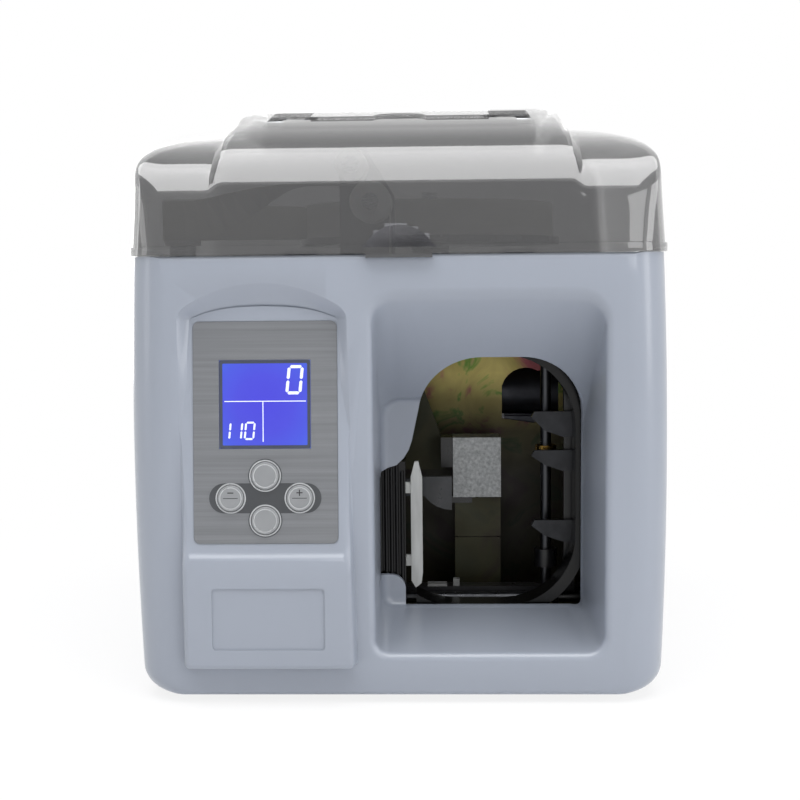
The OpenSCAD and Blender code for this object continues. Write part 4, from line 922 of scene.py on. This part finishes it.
dullSteel = finish("dullSteel", (168, 169, 167), (198, 199, 197), scale=160, stretch=(1, 1, 0.2), metal=0.25,
                   rough=(0.38, 0.5), bump=0.1)
fingerSteel = finish("fingerSteel", (34, 35, 38), (50, 51, 55), scale=90, metal=0.5, rough=(0.3, 0.42),
                     bump=0.08)
rodSteel = finish("rodSteel", (62, 63, 66), (84, 85, 88), scale=90, stretch=(1, 1, 0.15), metal=0.9,
                  rough=(0.25, 0.4), bump=0.04)
brassMetal = finish("brassMetal", (150, 118, 58), (178, 144, 78), metal=1.0, rough=(0.25, 0.38), bump=0.04)
nylon = finish("nylon", (222, 221, 214), (234, 233, 228), scale=30, bump=0.03, Subsurface_Weight=0.2,
               Subsurface_Scale=0.01)
paperTape = finish("paperTape", (198, 194, 182), (214, 210, 200), scale=50, stretch=(1, 1, 9), rough=(0.6, 0.75),
                   bump=0.15, bumpScale=900)
redPlastic = finish("redPlastic", (168, 28, 22), (184, 38, 30), scale=30, rough=(0.25, 0.32), bump=0.03)
boardGreen = finish("boardGreen", (28, 84, 48), (40, 104, 60), scale=120, detail=5, rough=(0.4, 0.55), bump=0.1)
padWhite = finish("padWhite", (136, 137, 136), (154, 154, 152), rough=(0.4, 0.5), bump=0.05)
smokeFin = finish("smokeFin", (34, 36, 40), (54, 56, 60), scale=70, rough=(0.25, 0.4), bump=0.05)
keyGrey = finish("keyGrey", (130, 132, 134), (138, 140, 142), rough=(0.34, 0.42), bump=0.04)
pillGrey = finish("pillGrey", (58, 60, 63), (64, 66, 69), rough=(0.4, 0.5), bump=0.04)
ringSilver = finish("ringSilver", (168, 170, 172), (186, 188, 190), scale=80, metal=0.4, rough=(0.25, 0.35),
                    bump=0.02)
bezelGrey = finish("bezelGrey", (52, 58, 74), (62, 68, 84), scale=80, bump=0.02)
figureLight = finish("figureLight", (196, 200, 222), (204, 208, 228), rough=(0.4, 0.5), bump=0.01,
                     Emission_Color=(0.55, 0.6, 0.78, 1), Emission_Strength=0.55)


def litScreen():  # blue back light, purer in the middle and lighter at the corners
    material = finish("litScreen", (30, 32, 120), (34, 36, 126), rough=(0.12, 0.2), bump=0.01)
    tree = material.node_tree
    shader = tree.nodes["Principled BSDF"]
    middle = onPanel(panel["windowMiddle"], panel["windowLow"] + panel["windowHeight"] / 2, 0.3)
    spot = addNode(tree, "ShaderNodeTexCoord")
    away = addNode(tree, "ShaderNodeVectorMath", {1: tuple(c / 1000 for c in middle)}, operation="DISTANCE")
    spread = addNode(tree, "ShaderNodeMapRange", {"From Min": 0.0, "From Max": 0.031})
    colour = rampNode(tree, spread.outputs["Result"], (0.0, 0.45, 0.8, 1.0),
                      ((74, 68, 232), (78, 78, 232), (74, 98, 238), (66, 118, 244)))
    connect(tree, (spot.outputs["Object"], away.inputs[0]), (away.outputs["Value"], spread.inputs["Value"]),
            (colour, shader.inputs["Emission Color"]))
    shader.inputs["Emission Strength"].default_value = 0.62
    return material


def zincWithPaintedShade():  # yellow passivation, stained green and pink, with painted shade darkening it towards its foot
    material = finish("zincWithPaintedShade", (186, 104, 110), (208, 190, 112), (220, 204, 120), (128, 176, 74),
                      (236, 196, 138), at=(0.36, 0.44, 0.54, 0.6, 0.68), scale=26, warp=1.6, detail=4,
                      metal=0.35, rough=(0.35, 0.5), bump=0.1, bumpScale=300)
    tree = material.node_tree
    base = tree.nodes["Principled BSDF"].inputs["Base Color"]
    colour = base.links[0].from_socket
    spot, axes = (addNode(tree, "ShaderNode" + kind) for kind in ("TexCoord", "SeparateXYZ"))
    # painted shade: the colour is multiplied darker by height, towards the plate's foot, where light doesn't
    # reach
    spread = addNode(tree, "ShaderNodeMapRange", {"From Min": 0.09, "From Max": 0.155})
    shade = rampNode(tree, spread.outputs["Result"], (0.0, 0.4, 0.7, 0.95),
                     ((40, 40, 38), (84, 84, 82), (170, 170, 168), (250, 250, 248)))
    mix = addNode(tree, "ShaderNodeMix", {0: 1.0}, data_type="RGBA", blend_type="MULTIPLY")
    connect(tree, (spot.outputs["Object"], axes.inputs[0]), (axes.outputs["Z"], spread.inputs["Value"]),
            (colour, mix.inputs[6]), (shade, mix.inputs[7]), (mix.outputs[2], base))
    return material


dressedNodes = (
    (rubberBlack, "feet feed_roller pinch_roller"), (zincPlate, "base_plate feed_bracket head_guide"),
    (darkMetal, "top_deck hinge_brackets transformer roller_bracket drive_motor head_solenoid"),
    (brightSteel, "hinge_pins grip_pins deck_spindles gear_motors clamp_pinion seal_head cutter_blade"),
    (brightSteel, "roller_screws cover_screws"), (smokedPlastic, "grip_handle"),
    (brushedPanel, "control_panel"), (redPlastic, "power_rocker"), (paperTape, "tape_roll tape_web"),
    (glossBlack, "display_window left_track tape_track"), (boardGreen, "panel_board control_board"),
    (blackPlastic, "display_module power_inlet switch_body turntable cross_rails stop_pad adjust_knob"),
    (blackPlastic, "clamp_carriage"), (keyGrey, "key_top key_bottom key_left key_right"),
    (nylon, "guide_post guide_roller keeper_roller"), (zincWithPaintedShade(), "mech_back_plate"), (padWhite, "rail_pad"),
    (zincInPaintedShade, "side_plates gusset_plate stop_bracket"), (castGrey, "stop_block"), (dullSteel, "press_plate"),
    (rodSteel, "guide_rods"), (brassMetal, "brass_bush"), (smokeFin, "tape_fin"), (fingerSteel, "jaw_fingers"))
for coat, names in dressedNodes:
    for name in names.split():
        nodes[name].data.materials.clear()
        nodes[name].data.materials.append(coat)
print("finishes made:", sum(len(names.split()) for _, names in dressedNodes), "nodes dressed")

frontCover(bodyPlastic)
print("front cover made")
rearCover(bodyPlastic)
print("rear cover made")
lidPiece(smokedPlastic, frostedPlastic)
print("lid made")
keyCaps(keyGrey, ringSilver, inkBlack)
keyPill(pillGrey, ringSilver)
displayPieces(litScreen(), bezelGrey, figureLight)
print("panel pieces made")
coverScrews(brightSteel)
rollerScrews(brightSteel)
print("screws made")


# camera, floor and light
view = dict(place=(0.02043, -0.76507, 0.21206), yaw=1.75, pitch=5.5, roll=0.57, lens=58.5)


def placeCamera():
    yaw, pitch, roll = (radians(view[k]) for k in ("yaw", "pitch", "roll"))
    ahead = Vector((-sin(yaw) * cos(pitch), cos(yaw) * cos(pitch), -sin(pitch)))
    side = Vector((cos(yaw), sin(yaw), 0))
    above = side.cross(ahead)
    right = side * cos(roll) - above * sin(roll)
    up = side * sin(roll) + above * cos(roll)
    data = bpy.data.cameras.new("camera")
    data.lens = view["lens"]
    data.sensor_width = 36
    camera = addObject("camera", data)
    camera.matrix_world = Matrix.Translation(view["place"]) @ Matrix((right, up, -ahead)).transposed().to_4x4()
    bpy.context.scene.camera = camera


def softLamp(name, spot, aim, size, power):
    data = bpy.data.lights.new(name, "AREA")
    data.shape = "RECTANGLE"
    data.size, data.size_y = size
    data.energy = power
    lamp = addObject(name, data)
    lamp.location = spot
    lamp.rotation_euler = (Vector(aim) - Vector(spot)).to_track_quat("-Z", "Y").to_euler()


def mostOf(tree, first, *others):  # the largest of several values
    for other in others:
        most = addNode(tree, "ShaderNodeMath", operation="MAXIMUM")
        connect(tree, (first, most.inputs[0]), (other, most.inputs[1]))
        first = most.outputs[0]
    return first


def mixShaders(tree, share, first, second):
    mix = addNode(tree, "ShaderNodeMixShader")
    connect(tree, (share, mix.inputs[0]), (first.outputs[0], mix.inputs[1]), (second.outputs[0], mix.inputs[2]))
    return mix.outputs[0]


def paleGround():  # white where the eye or a reflection meets it, a little darker near the machine
    half = 3000
    points = [(x, y, 0) for x, y in corners(-half, -half, half, half)]
    floor = makePiece("floor", (points, [(0, 1, 2, 3)]), outward=False)
    material = bpy.data.materials.new("floorPaint")
    material.use_nodes = True
    tree = material.node_tree
    paint = tree.nodes["Principled BSDF"]
    for key, value in (("Base Color", (0.85, 0.85, 0.86, 1)), ("Roughness", 0.9), ("Specular IOR Level", 0.1)):
        paint.inputs[key].default_value = value
    seen = addNode(tree, "ShaderNodeLightPath").outputs
    spot = addNode(tree, "ShaderNodeTexCoord")
    away = addNode(tree, "ShaderNodeVectorMath", operation="LENGTH")
    near = addNode(tree, "ShaderNodeMapRange", {"From Min": 0.15, "From Max": 0.5, "To Min": 0.84})
    share = addNode(tree, "ShaderNodeMath", operation="MULTIPLY")
    connect(tree, (spot.outputs["Object"], away.inputs[0]), (away.outputs["Value"], near.inputs["Value"]),
            (mostOf(tree, seen["Is Camera Ray"], seen["Is Glossy Ray"]), share.inputs[0]),
            (near.outputs["Result"], share.inputs[1]))
    glow = addNode(tree, "ShaderNodeEmission", {"Color": (1, 1, 1, 1), "Strength": 1.0})
    shown = mixShaders(tree, share.outputs[0], paint, glow)
    connect(tree, (shown, tree.nodes["Material Output"].inputs["Surface"]))
    floor.data.materials.append(material)


def whiteWorld(strength):  # white where it is seen, dimmer as a lamp
    world = bpy.data.worlds.new("studio")
    bpy.context.scene.world = world
    world.use_nodes = True
    tree = world.node_tree
    dim = tree.nodes["Background"]
    dim.inputs["Color"].default_value = (0.95, 0.97, 1.0, 1)
    dim.inputs["Strength"].default_value = strength
    white = addNode(tree, "ShaderNodeBackground", {"Color": (1, 1, 1, 1), "Strength": 1.0})
    seen = addNode(tree, "ShaderNodeLightPath").outputs
    share = mostOf(tree, seen["Is Camera Ray"], seen["Is Transmission Ray"], seen["Is Glossy Ray"])
    connect(tree, (mixShaders(tree, share, dim, white), tree.nodes["World Output"].inputs["Surface"]))


placeCamera()
paleGround()
whiteWorld(0.3)
softLamp("frontBox", (0.85, -1.35, 0.75), (0, 0, 0.15), (0.9, 0.7), 4.6)
softLamp("topBox", (0, -0.42, 1.5), (0, -0.42, 0.2), (1.7, 1.45), 34)
softLamp("leftBox", (-1.6, -0.5, 0.6), (0, 0, 0.15), (0.5, 1.1), 2.5)
softLamp("rightBox", (1.5, -0.7, 0.6), (0, 0, 0.15), (0.5, 1.1), 6)
softLamp("rearBox", (-0.5, 1.5, 0.22), (0, 0, 0.15), (1.3, 0.36), 5)
bpy.context.scene.view_settings.view_transform = "Standard"
print("camera, floor and light made")
